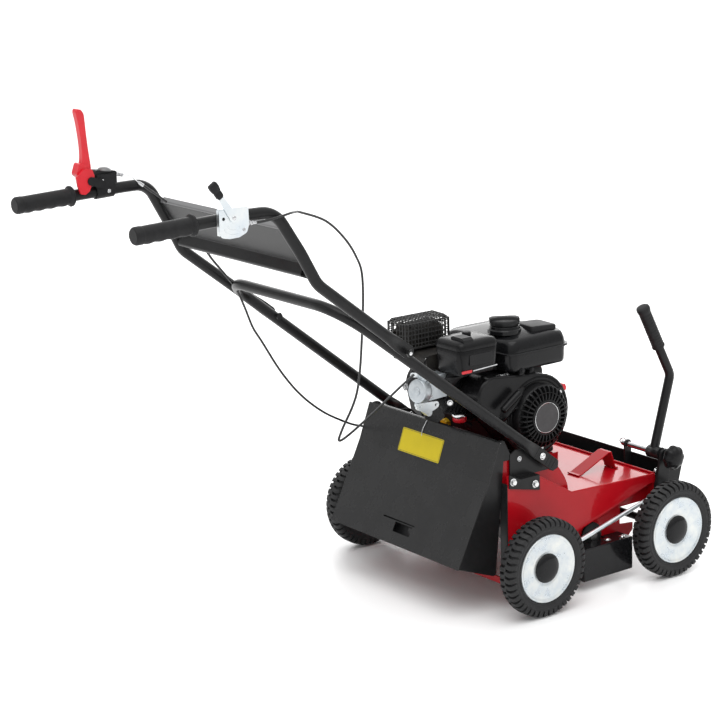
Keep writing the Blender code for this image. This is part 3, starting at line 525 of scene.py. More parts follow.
def soften(o, width, seg=2, angle=32, weld=False, sub=0, flat=False):
    if weld:
        w = o.modifiers.new("weld", "WELD")
        w.merge_threshold = 0.00003
        d = o.modifiers.new("merge", "DECIMATE")
        d.decimate_type = "DISSOLVE"
        d.angle_limit = math.radians(0.6)
    if width:
        b = o.modifiers.new("edge", "BEVEL")
        b.width = width / 1000
        b.segments = seg
        b.limit_method = "ANGLE"
        b.angle_limit = math.radians(angle)
        b.use_clamp_overlap = not weld
    if sub:
        s = o.modifiers.new("round", "SUBSURF")
        s.levels = s.render_levels = sub
    n = o.modifiers.new("normals", "WEIGHTED_NORMAL")
    n.keep_sharp = False
    n.weight = 60


def piece(name, geo, paint, node, hide=False, edge=0.5, seg=2, angle=32, sub=0, sharp=None):
    """One visible piece on the body of a CAD node, in the finish given; hide the node if the piece stands for it."""
    bm = bmesh.new()
    verts = [bm.verts.new(V(*p)) for p in geo.v]
    for q in geo.f:
        try:
            bm.faces.new([verts[i] for i in dict.fromkeys(q)])
        except ValueError:
            pass
    bmesh.ops.remove_doubles(bm, verts=bm.verts, dist=1e-6)
    bmesh.ops.recalc_face_normals(bm, faces=bm.faces)
    me = bpy.data.meshes.new(name)
    bm.to_mesh(me)
    bm.free()
    o = bpy.data.objects.new(name, me)
    bpy.context.scene.collection.objects.link(o)
    me.materials.append(paint)
    smooth_shade(me, sharp or 180)
    if edge or sub:
        soften(o, edge, seg, angle, sub=sub)
    elif sharp is None:
        smooth_shade(me, 40)
    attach(o, BODY[node])
    if hide:
        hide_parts(node)
    MADE.append(o)
    return o


def keep(node, paint, edge=0.6, seg=2, angle=32):
    """A CAD node whose shape is right: it gets its finish and, unless it is plain sheet, soft edges."""
    o = NODES[node]
    o.data.materials.clear()
    o.data.materials.append(paint)
    o.data.polygons.foreach_set("material_index", [0] * len(o.data.polygons))
    o.data.polygons.foreach_set("use_smooth", [edge is not None] * len(o.data.polygons))
    if edge is not None:
        soften(o, edge, seg, angle, weld=True)
    return o


# ================================================================ camera
a, p, ro = math.radians(53.62), math.radians(14.05), math.radians(-1.6)
right = Vector((math.cos(a), math.sin(a), 0))
ahead = Vector((-math.sin(a) * math.cos(p), math.cos(a) * math.cos(p), -math.sin(p)))
up = right.cross(ahead)
right2 = math.cos(ro) * right + math.sin(ro) * up
up2 = -math.sin(ro) * right + math.cos(ro) * up
m = Matrix((right2, up2, -ahead)).transposed().to_4x4()
m.translation = Vector((3.2337, -2.6020 + 0.193, 1.5079))
lens = bpy.data.cameras.new("camera")
lens.sensor_width = 36
lens.lens = 2109.76 / 720 * 36
lens.clip_end = 100
camera = bpy.data.objects.new("camera", lens)
camera.matrix_world = m
bpy.context.scene.collection.objects.link(camera)
bpy.context.scene.camera = camera
bpy.context.scene.view_settings.view_transform = "Standard"

# ================================================================ wheels
WHEELS = {"rear_right": (1, 0), "rear_left": (-1, 0), "front_right": (1, 355), "front_left": (-1, 355)}
CARCASS = [(69.8, -15.5), (69.8, 15.5), (70.6, 16.6), (72.2, 17.2), (76.5, 17.6), (78.6, 17.9), (79.8, 19.0),
           (81.4, 19.3), (85.0, 18.9), (89.5, 17.6), (92.6, 15.2), (93.9, 11.0), (94.3, 0), (93.9, -11.0),
           (92.6, -15.2), (89.5, -17.6), (85.0, -18.9), (81.4, -19.3), (79.8, -19.0), (78.6, -17.9),
           (76.5, -17.6), (72.2, -17.2), (70.6, -16.6)]
LUG = [(-1.6, 91.5), (-1.6, 98.8), (-0.9, 99.7), (6.0, 99.8), (12.5, 99.0), (17.0, 96.8), (19.6, 93.4), (20.4, 89.6),
       (20.3, 86.6), (18.6, 84.6), (16.0, 86.5), (14.0, 91.0)]


def lug(cx, cy, cz, side, angle, half):
    """One tread block, wider at its foot, kinked across the tread, wrapped over the shoulder."""
    g = Geo()
    m_ = len(LUG)
    for e in (-1, 1):
        for x, r in LUG:
            kink = 1.7 * math.sin(math.radians(max(0.0, x) / 20.5 * 180)) - 0.8
            foot = 1.0 - 0.16 * max(0.0, min(1.0, (r - 91.0) / 9.0))
            an = math.radians(angle + e * half * foot + kink * 1.25)
            g.v.append(Vector((cx + side * x, cy + r * math.cos(an), cz + r * math.sin(an))))
    for k in range(m_):
        k2 = (k + 1) % m_
        g.f.append((k, k2, k2 + m_, k + m_))
    g.f.append(tuple(reversed(range(m_))))
    g.f.append(tuple(range(m_, 2 * m_)))
    return g


for wname, (side, wy) in WHEELS.items():
    wx = 287.5 * side
    tyre = lathe(CARCASS, (wx, wy, 100), (side, 0, 0), 96)
    turn0 = {"rear_right": 3, "rear_left": 8, "front_right": 6, "front_left": 1}[wname]
    lugs = [tyre]
    for k in range(44):
        lugs.append(lug(wx, wy, 100, 1, turn0 + 360 / 44 * k, 2.95))
        lugs.append(lug(wx, wy, 100, -1, turn0 + 360 / 44 * (k + 0.5), 2.95))
    tyre = joined(lugs)
    # a thin bead line on each sidewall
    for s in (1, -1):
        tyre = tyre + lathe([(72.9, 17.0), (73.4, 18.0), (74.2, 18.0), (74.7, 17.2)], (wx, wy, 100), (s, 0, 0), 96)
    piece("tyre_" + wname + "_treaded", tyre, TYRE, "tyre_" + wname, hide=True, edge=0.55, seg=1, angle=40)
    rim = lathe([(69.5, -15), (69.5, 15.4), (69.1, 16.8), (68.1, 17.6), (66.7, 17.8), (65.3, 17.2), (63.9, 16.0),
                 (61.5, 15.5), (50, 14.7), (38, 13.7), (33.6, 13.2), (32.6, 12.6), (31.4, 12.3), (13.5, 12.3),
                 (6.85, 12.3), (6.85, -19.5), (13.0, -19.5), (13.5, -19.0), (13.5, -9), (30, -9.4), (55, -10.2), (61.0, -10.4),
                 (63.5, -12), (65.0, -15.2), (66.5, -16.2), (68.5, -16.2)], (wx, wy, 100), (side, 0, 0), 96)
    piece("rim_" + wname + "_disc", rim, ZINC_DISC, "rim_" + wname, hide=True, edge=0)
    cap = lathe([(0, 12.0), (29.4, 12.0), (29.9, 12.6), (29.9, 13.6), (29.2, 14.6), (27.6, 15.5), (26.6, 16.4), (24.0, 17.7),
                 (20.0, 18.9), (15.0, 19.7), (8.0, 20.3), (0, 20.4)], (wx, wy, 100), (side, 0, 0), 64)
    piece("hub_cap_" + wname, cap, PLASTIC_TANK, "rim_" + wname, edge=0)

# ================================================================ chassis sheet metal
keep("deck_shell", RED, None)
keep("hood_handle", RED, 1.2, 3)
keep("side_skirt", BLACK_GLOSS, 0.5, 2)
keep("front_frame", BLACK, 0.45, 2)
keep("handle_bracket_right", BLACK, 0.45, 2)
keep("handle_bracket_left", BLACK, 0.45, 2)
keep("flap_hinge_rod", STEEL, 0.3, 1)
keep("front_axle", BLACK, 0.5, 2)
keep("rear_axle", BLACK, 0.5, 2)
keep("belt_cover", BLACK, 0.8, 2)
keep("rotor_bearing_right", CAST_BLACK, 0.8, 2)
keep("rotor_bearing_left", CAST_BLACK, 0.8, 2)
keep("rotor", KNIFE, 0.4, 1)
keep("rotor_pulley", STEEL, 0.5, 2)
keep("crankshaft", STEEL, 0.4, 1)
keep("crank_pulley", STEEL, 0.5, 2)
keep("idler_pulley", STEEL, 0.5, 2)
keep("idler_arm", ZINC, 0.6, 2)
keep("drive_belt", BELT, 0.5, 1)
keep("link_rod", ZINC, 0.4, 2)
keep("depth_lever", BLACK, 0, 1)
keep("lever_pivot_rod", STEEL, 0.4, 1)
for s, word in ((1, "right"), (-1, "left")):
    o = keep("fold_bolt_" + word, BLACK, 0.5, 2)
    xs = [(o.matrix_world @ v.co).x * 1000 for v in o.data.vertices]
    x_end = max(xs) if s > 0 else min(xs)
    FOLD_TIP = [] if s > 0 else FOLD_TIP
    FOLD_TIP.append((s, word, x_end))
keep("engine_block", CAST_BLACK, 1.6, 3)
keep("rocker_cover", CAST_BLACK, 2.0, 3)
keep("fan_housing", PLASTIC, 3.0, 3)
keep("starter_grip", PLASTIC, 1.0, 2)

# ================================================================ handles
for s, word, x_end in FOLD_TIP:
    piece("fold_bolt_tip_" + word, domebolt((x_end - s * 0.3, -281, 570), (s, 0, 0), 3.6, 1.8), CHROME, "fold_bolt_" + word, edge=0)
R = 11.0


def leg_point(s, y):
    return Vector((s * (202 + 0.06 * (y + 270)), y, 556.5 - 0.784 * (y + 270)))


def flattened(path, spans, r=R, n=28, half=3.2):
    """Round tube, pressed flat near given points: spans are (from_mm, to_mm) along it."""
    ring = circle(1.0, n)
    wide = 13.2

    def section(i, t, d):
        k = 0.0
        for d0, d1, soft in spans:
            if d < d0:
                q = max(0.0, 1 - (d0 - d) / soft)
            elif d > d1:
                q = max(0.0, 1 - (d - d1) / soft)
            else:
                q = 1.0
            k = max(k, q * q * (3 - 2 * q))
        e = 1.0 - 0.62 * k
        out = []
        for a_, b_ in ring:
            sa = math.copysign(abs(a_) ** e, a_)
            sb = math.copysign(abs(b_) ** (1 - 0.35 * k), b_)
            out.append((sa * (r + (half - r) * k), sb * (r + (wide - r) * k)))
        return out

    return sweep(path, section, (1, 0, 0))


def length_of(path):
    return sum((b - a_).length for a_, b in zip(path, path[1:]))


corner_r = [leg_point(1, 95), leg_point(1, -404), leg_point(-1, -404), leg_point(-1, 95)]
u_path = resample(fillet(corner_r, [80, 80], 12), 6)
total = length_of(u_path)
flat_leg = 2.7
foot_dir = (u_path[0] - u_path[1]).normalized()
foot_side = Vector((0, foot_dir.z, -foot_dir.y)).normalized()


def foot_end(p_):
    """Rounds off the pressed feet in their own plane."""
    for s_ in (1, -1):
        end_ = leg_point(s_, 95)
        d_ = (end_ - p_).dot(Vector((s_ * abs(foot_dir.x), foot_dir.y, foot_dir.z)))
        w_ = (p_ - end_).dot(foot_side)
        if d_ < 14 and p_.x * s_ > 0 and p_.y > 60:
            lim = 1.5 + math.sqrt(max(0.0, 11.8 ** 2 - max(0.0, 11.8 - max(d_, 0.0)) ** 2))
            if abs(w_) > lim:
                p_ = p_ + foot_side * (math.copysign(lim, w_) - w_)
    return p_


lower = flattened(u_path, [(-1, 66, 40), (total - 66, total + 1, 40)], half=flat_leg).map(foot_end)
piece("lower_handle_tube", lower, BLACK, "lower_handle", hide=True, edge=0.5, seg=2, angle=50)
# pressed ridges and the round-headed bolts at the feet
for s in (1, -1):
    for q in (84, 77, 70, 44, 36):
        c = leg_point(s, q)
        d = (leg_point(s, q + 1) - leg_point(s, q)).normalized()
        across = Vector((0, d.z, -d.y))
        out_ = Vector((s, 0, 0))
        ridge = tube([c + out_ * 2.1 - across * 11, c + out_ * 2.5, c + out_ * 2.1 + across * 11], lambda t: 1.3, 10)
        piece(f"leg_ridge_{'right' if s > 0 else 'left'}_{q}", ridge, BLACK, "lower_handle", edge=0)
    b = leg_point(s, 57)
    bolt = domebolt(b + Vector((s * 2.9, 0, 0)), (s, 0, 0), 5.6, 4.2, 7.2)
    bolt = bolt + lathe([(0, -22), (4, -22), (4, 1), (0, 1)], b, (s, 0, 0), 16) + hexbolt(b + Vector((-s * 20.5, 0, 0)), (-s, 0, 0), 6.0, 4.5)
    piece("leg_bolt_" + ("right" if s > 0 else "left"), bolt, CHROME, "lower_handle", edge=0)

UP = [(211, -832, 861), (211, -612, 868.6), (215, -555, 868), (222, -508, 789), (226, -476, 727), (226, -267, 562.8)]
for s, word in ((1, "right"), (-1, "left")):
    pts = [Vector((s * x, y, z)) for x, y, z in UP]
    path = resample(fillet(pts, [60, 50, 90, 60], 10), 6)
    total = length_of(path)
    tip = 30.0
    # the pressed end is rounded off in its own plane
    end = Vector(path[-1])
    away = (Vector(path[-1]) - Vector(path[-2])).normalized()
    cross_ = Vector((0, away.z, -away.y))

    def round_end(p_, end=end, away=away, cross_=cross_):
        d = (end - p_).dot(away)
        w = (p_ - end).dot(cross_)
        if d < 13.4:
            limit = math.sqrt(max(0.0, 13.4 ** 2 - (13.4 - d) ** 2))
            if abs(w) > limit:
                p_ = p_ + cross_ * (math.copysign(limit, w) - w)
        return p_

    path2 = resample(path[:-4], 6) + resample([path[-4], path[-1]], 1.6)[1:]
    total2 = length_of(path2)
    base = flattened(path2, [(total2 - 30, total2 + 1, 46)], half=3.4).map(round_end)
    piece("upper_handle_" + word + "_tube", base, BLACK, "upper_handle_" + word, hide=True, edge=0.4, seg=2, angle=50)

    # grip: hollow-looking round end, finger waves below, fine ribs, and a guard ring
    o_ = Vector((s * 211, -720, 864.9))
    w_ = Vector((0, -1, -0.0345)).normalized()
    side_ = Vector((1, 0, 0))
    up_ = side_.cross(w_)
    if up_.z < 0:
        up_ = -up_
    stations = [0, 0.8, 2.0, 5.0, 6.6, 7.4, 9] + [9 + 1.75 * k for k in range(1, 59)] + [113.5, 115.8, 118.0, 119.5, 120.3]
    loops = []
    for t in stations:
        if t <= 0.8:
            r0 = 17.6
        elif t <= 2.0:
            r0 = 19.4
        elif t <= 5.0:
            r0 = 19.8
        elif t <= 6.6:
            r0 = 18.6
        elif t <= 7.4:
            r0 = 16.6
        elif t <= 104:
            r0 = 15.5
        else:
            r0 = 16.2
        if t > 112:
            r0 = 16.2 - max(0.0, t - 115) ** 2 * 0.11
        row = []
        for k in range(36):
            an = math.tau * k / 36
            under = max(0.0, -math.sin(an))
            wave = 0.0
            if 9 < t < 105:
                wave = 1.5 * under ** 1.5 * (0.5 - 0.5 * math.cos((t - 9) / 96 * 4 * math.tau)) + 0.22 * math.cos(t * 1.8)
            r_ = r0 + wave
            row.append(o_ + w_ * t + side_ * (r_ * math.cos(an)) + up_ * (r_ * math.sin(an)))
        loops.append(row)
    piece("grip_" + word + "_rubber", rings(loops), GRIP, "grip_" + word, hide=True, edge=0)

# ---- tool tray: pressed panel and a folded channel at its lower edge
tray_line = fillet([(0, -523, 839), (0, -532, 832), (0, -489, 764), (0, -498, 743), (0, -479, 735), (0, -472, 750)],
                   [3, 3, 4, 3, 3], 4)


def strip(line, x0, x1, half, trim=0.0):
    """A folded sheet along a side view line, x0 to x1 wide."""
    line = [Vector(q) for q in line]
    n = len(line)
    normals = []
    for i in range(n):
        a_ = line[max(0, i - 1)]
        b_ = line[min(n - 1, i + 1)]
        t = (b_ - a_).normalized()
        normals.append(Vector((0, -t.z, t.y)))
    g = Geo()
    for x in (x0, x1):
        for i in range(n):
            g.v.append(Vector((x, 0, 0)) + line[i] + normals[i] * half)
        for i in range(n):
            g.v.append(Vector((x, 0, 0)) + line[i] - normals[i] * half)
    m_ = 2 * n
    for i in range(n - 1):
        g.f.append((i, i + 1, i + 1 + m_, i + m_))
        g.f.append((n + i, n + i + m_, n + i + 1 + m_, n + i + 1))
    g.f.append((0, m_, m_ + n, n))
    g.f.append((n - 1, 2 * n - 1, m_ + 2 * n - 1, m_ + n - 1))
    for e in (0, 1):
        for i in range(n - 1):
            g.f.append((e * m_ + i, e * m_ + n + i, e * m_ + n + i + 1, e * m_ + i + 1))
    return g


cut = max(i for i, q in enumerate(tray_line) if q.y < -490 and q.z > 760)
panel_line = tray_line[: cut + 1]
lip_line = tray_line[cut:]
# the panel's grey is painted sky reflection; the channel below keeps the plain black coat
piece("tray_panel", strip(panel_line, -206, 206, 1.0), GREY_PAINTED_SKY_REFLECTION, "handle_tray", hide=True, edge=0.5)
piece("tray_channel", strip(lip_line, -206, 206, 1.0), BLACK, "handle_tray", hide=True, edge=0.5)

# ---- throttle control: folded zinc housing, strip lever and knob
housing = rounded([(-680, 886.5), (-650, 888), (-619.5, 888), (-619, 856), (-624, 842), (-640, 835.5), (-660, 835), (-675, 838), (-680, 848)],
                  [3, 0, 5, 6, 8, 14, 14, 8, 6])
hole = disc(-671, 871, 3.1)
piece("throttle_plate", plate(housing, 228.3, 230.5, to_yz, [hole]), ZINC, "throttle_housing", hide=True, edge=0.7, seg=3)
back = rounded([(-677, 884), (-622, 885), (-622, 850), (-640, 839), (-664, 838.5), (-677, 848)], 6)
piece("throttle_case", plate(back, 222.4, 228.25, to_yz), BLACK, "throttle_housing", edge=0.5)
wall = plate(rounded([(-680, 887), (-676.5, 887), (-676.5, 842), (-680, 842)], 0.6, 2), 222.4, 229.4, to_yz)
wall = wall + plate(rounded([(-679, 887.9), (-621, 887.9), (-621, 885.4), (-679, 885.4)], 0.6, 2), 222.4, 229.4, to_yz)
piece("throttle_flanges", wall, ZINC, "throttle_housing", edge=0.4)
piece("throttle_screw", crosshead((230.4, -653, 870), (1, 0, 0), 5.0, 2.6) +
      crosshead((230.4, -630, 848), (1, 0, 0), 3.0, 1.8), STEEL, "throttle_housing", edge=0)
arc = []
for r_, a0, a1 in ((23, 205, 300), (14, 200, 330)):
    line = [(230.5, -650 + r_ * math.cos(math.radians(q)), 862 + r_ * 0.9 * math.sin(math.radians(q))) for q in range(a0, a1, 6)]
    arc.append(tube(line, 0.8, 8))
piece("throttle_stampings", joined(arc), ZINC, "throttle_housing", edge=0)
adj = rod((226.5, -624, 859), (226.5, -602, 856), 3.1) + hexbolt((226.5, -618.5, 858.2), (0, 1, -0.13), 5.2, 3.4) + \
    hexbolt((226.5, -611.5, 857.3), (0, 1, -0.13), 4.6, 3.0)
piece("throttle_adjuster", adj, STEEL, "throttle_housing", edge=0.2, seg=1)
piece("throttle_clip", lathe([(11.4, 0), (13.2, 0), (13.2, 16), (11.4, 16)], (211, -658, 867), (0, 1, 0.0345), 32),
      ZINC, "throttle_housing", edge=0.3)

k_dir = Vector((0, -0.555, 0.832))
k_at = Vector((232.2, -677, 910))
strip_lever = plate(hull_outline([(-651, 871, 8), (-675, 907, 5.6)]), 231.2, 233.3, to_yz)
piece("throttle_strip", strip_lever, ZINC, "throttle_lever", hide=True, edge=0.5)
piece("throttle_pin", domebolt((233.2, -651, 871), (1, 0, 0), 3.6, 1.8), STEEL, "throttle_lever", edge=0)
loops = []
kx, kz = Vector((1, 0, 0)), Vector((1, 0, 0)).cross(k_dir)
for t, ha, hb in ((-2, 3.2, 4.6), (0, 4.4, 6.0), (1.5, 4.8, 6.6), (9, 4.6, 6.8), (11, 3.9, 6.4), (13, 4.8, 7.4), (20, 5.4, 8.6), (27, 5.2, 8.4), (29.4, 4.2, 7.4), (30.2, 2.6, 5.6)):
    loops.append([k_at + k_dir * t + kx * a_ + kz * b_ for a_, b_ in soft_rect(-ha, ha, -hb, hb, min(ha, hb) * 0.45, 3)])
piece("throttle_knob", rings(loops), PLASTIC_MATT, "throttle_lever", edge=0)

# ---- presence lever: black bracket with a dome, red moulded lever
OP = (-686, 890)
case = rounded([(-674, 909), (-628, 903), (-628, 880.3), (-674, 880.3)], [5, 4, 1, 1])
piece("presence_case", plate(case, -220.5, -200.2, to_yz), PLASTIC_MATT, "opc_bracket", hide=True, edge=1.6, seg=3)
cheek = rounded([(-673, 863), (-634, 862), (-632, 900), (-673, 900)], [5, 7, 3, 3])
piece("presence_cheek", plate(cheek, -199.9, -197.0, to_yz), PLASTIC_MATT, "opc_bracket", edge=0.8, seg=2)
piece("presence_clamp", lathe([(11.3, 0), (14.2, 0), (14.2, 38), (11.3, 38)], (-211, -672, 866.5), (0, 1, 0.0345), 36),
      PLASTIC_MATT, "opc_bracket", edge=0.6)
ear = plate(hull_outline([(*OP, 8.0), (-668, 884, 8.0)]), -194.6, -191.8, to_yz, )
piece("presence_ear", ear, PLASTIC_MATT, "opc_bracket", edge=0.6)
bridge = block(-197.2, -194.4, -676, -664, 876, 892)
piece("presence_ear_foot", bridge, PLASTIC_MATT, "opc_bracket", edge=0.4)
piece("presence_screw", crosshead((-197.0, -648, 867.5), (1, 0, 0), 4.0, 2.2) + crosshead((-197.0, -660, 889), (1, 0, 0), 1.8, 1.0),
      CHROME, "opc_bracket", edge=0)
piece("presence_dome", lathe([(0, 0), (13.0, 0), (13.0, 1.4), (11.6, 3.6), (8.6, 5.6), (4.4, 6.8), (0, 7.2)], (-206, -651, 905.2), (0, 0.12, 1), 36),
      GREY_PAINTED_SKY_REFLECTION, "opc_bracket", edge=0)
adj = rod((-205, -634, 898), (-205, -612, 892.5), 3.1) + hexbolt((-205, -628, 896.4), (0, 1, -0.25), 5.0, 3.2)
for k in range(6):
    c = Vector((-205, -623 + k * 1.8, 895.2 - k * 0.45))
    adj = adj + lathe([(2.6, 0), (3.7, 0.2), (3.7, 0.9), (2.6, 1.1)], c, (0, 1, -0.25), 20)
piece("presence_adjuster", adj, STEEL, "opc_bracket", edge=0.15, seg=1)

body_out = hull_outline([(*OP, 8), (-706, 906, 7), (-703, 920, 5)])
piece("presence_lever_body", plate(body_out, -219.5, -199.4, to_yz), PLASTIC_RED, "opc_lever", hide=True, edge=2.2, seg=3)
edge_l = [(-705, 905), (-703, 918), (-699.5, 931), (-699, 953), (-701, 977), (-704, 1001), (-707.6, 1019), (-705.5, 1026.4)]
edge_r = [(-690, 900), (-682.5, 912), (-682.6, 922), (-684.2, 936), (-686, 953), (-688, 977), (-689.5, 1001), (-691, 1016), (-696.5, 1024.5)]


def soft_line(pts_, each=5):
    return [(q.x, q.y) for q in spline([(a_, b_, 0) for a_, b_ in pts_], each)]


blade = soft_line(edge_r) + list(reversed(soft_line(edge_l)))
piece("presence_lever_blade", plate(blade, -213.5, -199.5, to_yz), PLASTIC_RED, "opc_lever", edge=2.6, seg=3, angle=45)
cheek_l = rounded([(-717, 900), (-714, 882), (-709, 868), (-699, 866), (-690, 872), (-684, 886), (-678, 899), (-683, 913), (-700, 915)],
                  [5, 4, 5, 4, 6, 8, 7, 6, 6], 4)
piece("presence_lever_cheek", plate(cheek_l, -199.6, -194.9, to_yz), PLASTIC_RED, "opc_lever", edge=1.5, seg=3)
piece("presence_pivot", rod((-193.0, *OP), (-220.4, *OP), 3.6) + lathe([(0, 0), (5.2, 0), (5.2, 1.0), (3.8, 1.8), (0, 1.8)], (-194.9, *OP), (1, 0, 0), 24),
      BLACK_GLOSS, "opc_lever", edge=0)

# ================================================================ cables
THROTTLE = [(226.5, -600.5, 855.8), (229, -585, 857), (232, -566, 859.5), (231.5, -546, 862), (223, -526, 862.5), (207, -505, 859.5),
            (190, -482, 854), (170, -415, 828), (155, -365, 790), (145, -330, 748), (136, -309, 701), (120, -301, 597), (100, -302, 474),
            (89, -333, 400), (84, -336, 379), (78, -305, 386), (68, -238, 415), (60, -170, 449), (57, -131, 468)]
CLUTCH = [(-205, -611.6, 892.4), (-204, -598, 889), (-198, -578, 872), (-188, -540, 841), (-178, -511, 812), (-170, -488, 780),
          (-163, -467, 742), (-160, -451, 715), (-160, -425, 683), (-162, -397, 648), (-166, -375, 604), (-179, -350, 559), (-196, -318, 521), (-210, -279, 468), (-217, -251, 432),
          (-218, -222, 397), (-218, -190, 366), (-219, -152, 337), (-219, -114, 315), (-219, -84, 300), (-219, -58, 291),
          (-220, -25, 281), (-220, 5, 275), (-222, 45, 272.5), (-227.5, 74, 257), (-229.6, 100, 238)]
piece("throttle_cable_sheath", tube(spline(THROTTLE, 8), 2.35, 14), SHEATH, "throttle_cable", hide=True, edge=0)
line = spline(CLUTCH, 8)
bare = [q for q in line if q.y < -579]
rest = [q for q in line if q.y >= -581]
piece("clutch_cable_wire", tube(bare, 0.9, 10), CHROME, "clutch_cable", hide=True, edge=0)
piece("clutch_cable_sheath", tube(rest, 2.35, 14), SHEATH, "clutch_cable", hide=True, edge=0)
d = (rest[1] - rest[0]).normalized()
piece("clutch_cable_ferrule", lathe([(1.0, -7), (2.4, -6.5), (2.6, -4), (3.2, -3.8), (3.2, 6), (2.4, 6.3), (1.0, 6.3)], rest[0], d, 20),
      STEEL, "clutch_cable", edge=0)

# ================================================================ rear flap
TILT = math.radians(-26.26)
FC, FS = math.cos(TILT), math.sin(TILT)


def F(x, yl, zl):
    return Vector((x, -36 + yl * FC - zl * FS, 337 + yl * FS + zl * FC))


def flap_way(x, zl, yl):
    return F(x, yl - 7.6 * max(0.0, min(1.0, (zl + 78) / 76)), zl)


outline = rounded([(-211, -78), (211, -78), (211, -258.5), (-211, -258.5)], [0, 0, 5, 5])
slit = rounded([(-56, -208), (46, -208), (46, -210.6), (-56, -210.6)], 1.0, 2)
opening = rounded([(-14, -212.6), (40, -212.6), (40, -233), (-14, -233)], [1, 1, 2, 2], 3)
piece("flap_sheet", plate(outline, -1.0, 1.0, flap_way, [slit, opening]), CHARCOAL, "rear_flap", hide=True, edge=0.6, seg=2)
for s, word in ((1, "right"), (-1, "left")):
    # the wings take the black coat, darker than the charcoal of the sheet they fold from
    wing = rounded([(-7.6, 3.5), (10, 1.5), (16, -25.1), (99.3, -247), (-1.0, -256.5), (-1.0, -78), (-8.4, -2)], [2, 5, 12, 6, 2, 0, 0])
    lo, hi = (208.9, 210.98) if s > 0 else (-210.98, -208.9)
    piece("flap_wing_" + word, plate(wing, lo, hi, lambda yl, zl, x: F(x, yl, zl)), BLACK, "rear_flap", edge=0.6)
    # rolled corner between the sheet and the wing
    piece("flap_fold_" + word, tube([F(s * 209.7, -7.4, 2.6), F(s * 209.7, -7.4, -2.4), F(s * 209.7, -0.1, -78), F(s * 209.7, -0.1, -255.5)], 1.15, 12), CHARCOAL, "rear_flap", edge=0)
top_line = fillet([F(0, 0, -78.0), F(0, -7.6, -2.0), F(0, -7.6, 3.4)], [30], 6)
piece("flap_top_bend", strip(top_line, -211, 211, 1.0), CHARCOAL, "rear_flap", edge=0.25, seg=1)
curl = [F(0, -7.2, 3.0), F(0, -4.4, 5.7), F(0, 0.2, 6.4), F(0, 4.6, 4.2)]
hinge_line = [Vector((0, q.y, q.z)) for q in spline(curl, 3)]
piece("flap_hinge_roll", strip(hinge_line, -196, 196, 0.9), CHARCOAL, "rear_flap", edge=0)
# painted shade: a black plate behind the flap's opening, so the opening reads as the shade inside the flap
piece("flap_backing", plate(rounded([(-90, -188), (90, -188), (90, -247), (-90, -247)], 4), 15.0, 16.5, flap_way), CAST_BLACK, "rear_flap", edge=0.4)
tab = plate(rounded([(29, -214.5), (39, -215.5), (39, -226), (33, -226), (33, -222), (29, -222)], [1, 2, 1, 1, 0, 1]), 1.1, 2.6, flap_way)
piece("flap_latch_plate", tab, CHARCOAL, "rear_flap", edge=0.3)
PX0, PX1, PZ0, PZ1 = -81, 52, -25, -73.5
piece("flap_plate", plate(rounded([(PX0, PZ0), (PX1, PZ0), (PX1, PZ1), (PX0, PZ1)], 2.5), -1.55, -0.95, flap_way), PLATE_YELLOW, "rear_flap", edge=0.15)
o1 = rounded([(PX0 + 1.6, PZ0 - 1.6), (PX1 - 1.6, PZ0 - 1.6), (PX1 - 1.6, PZ1 + 1.6), (PX0 + 1.6, PZ1 + 1.6)], 1.8)
o2 = rounded([(PX0 + 2.3, PZ0 - 2.3), (PX1 - 2.3, PZ0 - 2.3), (PX1 - 2.3, PZ1 + 2.3), (PX0 + 2.3, PZ1 + 2.3)], 1.4)
piece("flap_plate_border", plate(o1, -1.66, -1.5, flap_way, [o2]), PLATE_LINE, "rear_flap", edge=0)
hook = spline([F(-18, -6.6, -31), F(-20, -7.6, -24), F(-19, -9.2, -16), F(-16, -10.4, -6), F(-14, -10.4, 2), F(-13.5, -6.6, 7.8), F(-13.5, -1.0, 8.2)], 6)
piece("flap_hook_wire", tube(hook, 0.9, 10), STEEL, "rear_flap", edge=0)

# ================================================================ depth lever
grip_a, grip_b = Vector((198, 400.5, 460.8)), Vector((198, 353, 552.8))
gd = (grip_b - grip_a).normalized()
glen = (grip_b - grip_a).length
prof = [(10.1, 0), (12.0, 0), (13.4, 0.8), (13.9, 2.5), (13.6, 5), (12.8, 7)]
for k in range(12):
    t = 9 + k * (glen - 24) / 12
    prof += [(12.9, t), (13.2, t + 1.8), (12.9, t + 3.6), (12.5, t + 4.8)]
prof += [(13.4, glen - 13), (14.2, glen - 10), (14.4, glen - 5), (13.6, glen - 1.8), (11.0, glen - 0.3), (6.0, glen + 0.2), (0, glen + 0.2), (0, glen - 4), (10.1, glen - 4)]
piece("lever_grip_rubber", lathe(prof, grip_a, gd, 40), GRIP, "lever_grip", hide=True, edge=0)

KX, KY, KZ = 255, 388, 238
loops = []
for x, r_ in ((246.0, 14.0), (246.7, 20.0), (249.0, 23.4), (254.0, 25.0), (260.0, 24.4), (265.2, 21.6), (269.0, 17.0), (271.4, 10.5), (272.2, 4.5)):
    row = []
    for k in range(80):
        an = math.tau * k / 80
        rr = r_ * (1 + 0.045 * math.cos(8 * an) * min(1.0, max(0.0, (r_ - 8) / 12)))
        row.append((x, KY + rr * math.cos(an), KZ + rr * math.sin(an)))
    loops.append(row)
knob = rings(loops)
knob = knob + lathe([(0, 236.5), (10.5, 236.5), (11.6, 237.5), (12.0, 242), (12.0, 250.6), (0, 250.6)], (0, KY, KZ), (1, 0, 0), 40)
piece("depth_knob_lobed", knob, PLASTIC, "depth_knob", hide=True, edge=0)

# ================================================================ engine
# ---- fuel tank: two mouldings on a seam flange, top falling to the left, with a neck and a pad
TX0, TX1, TY0, TY1 = -92, 130, 55, 224


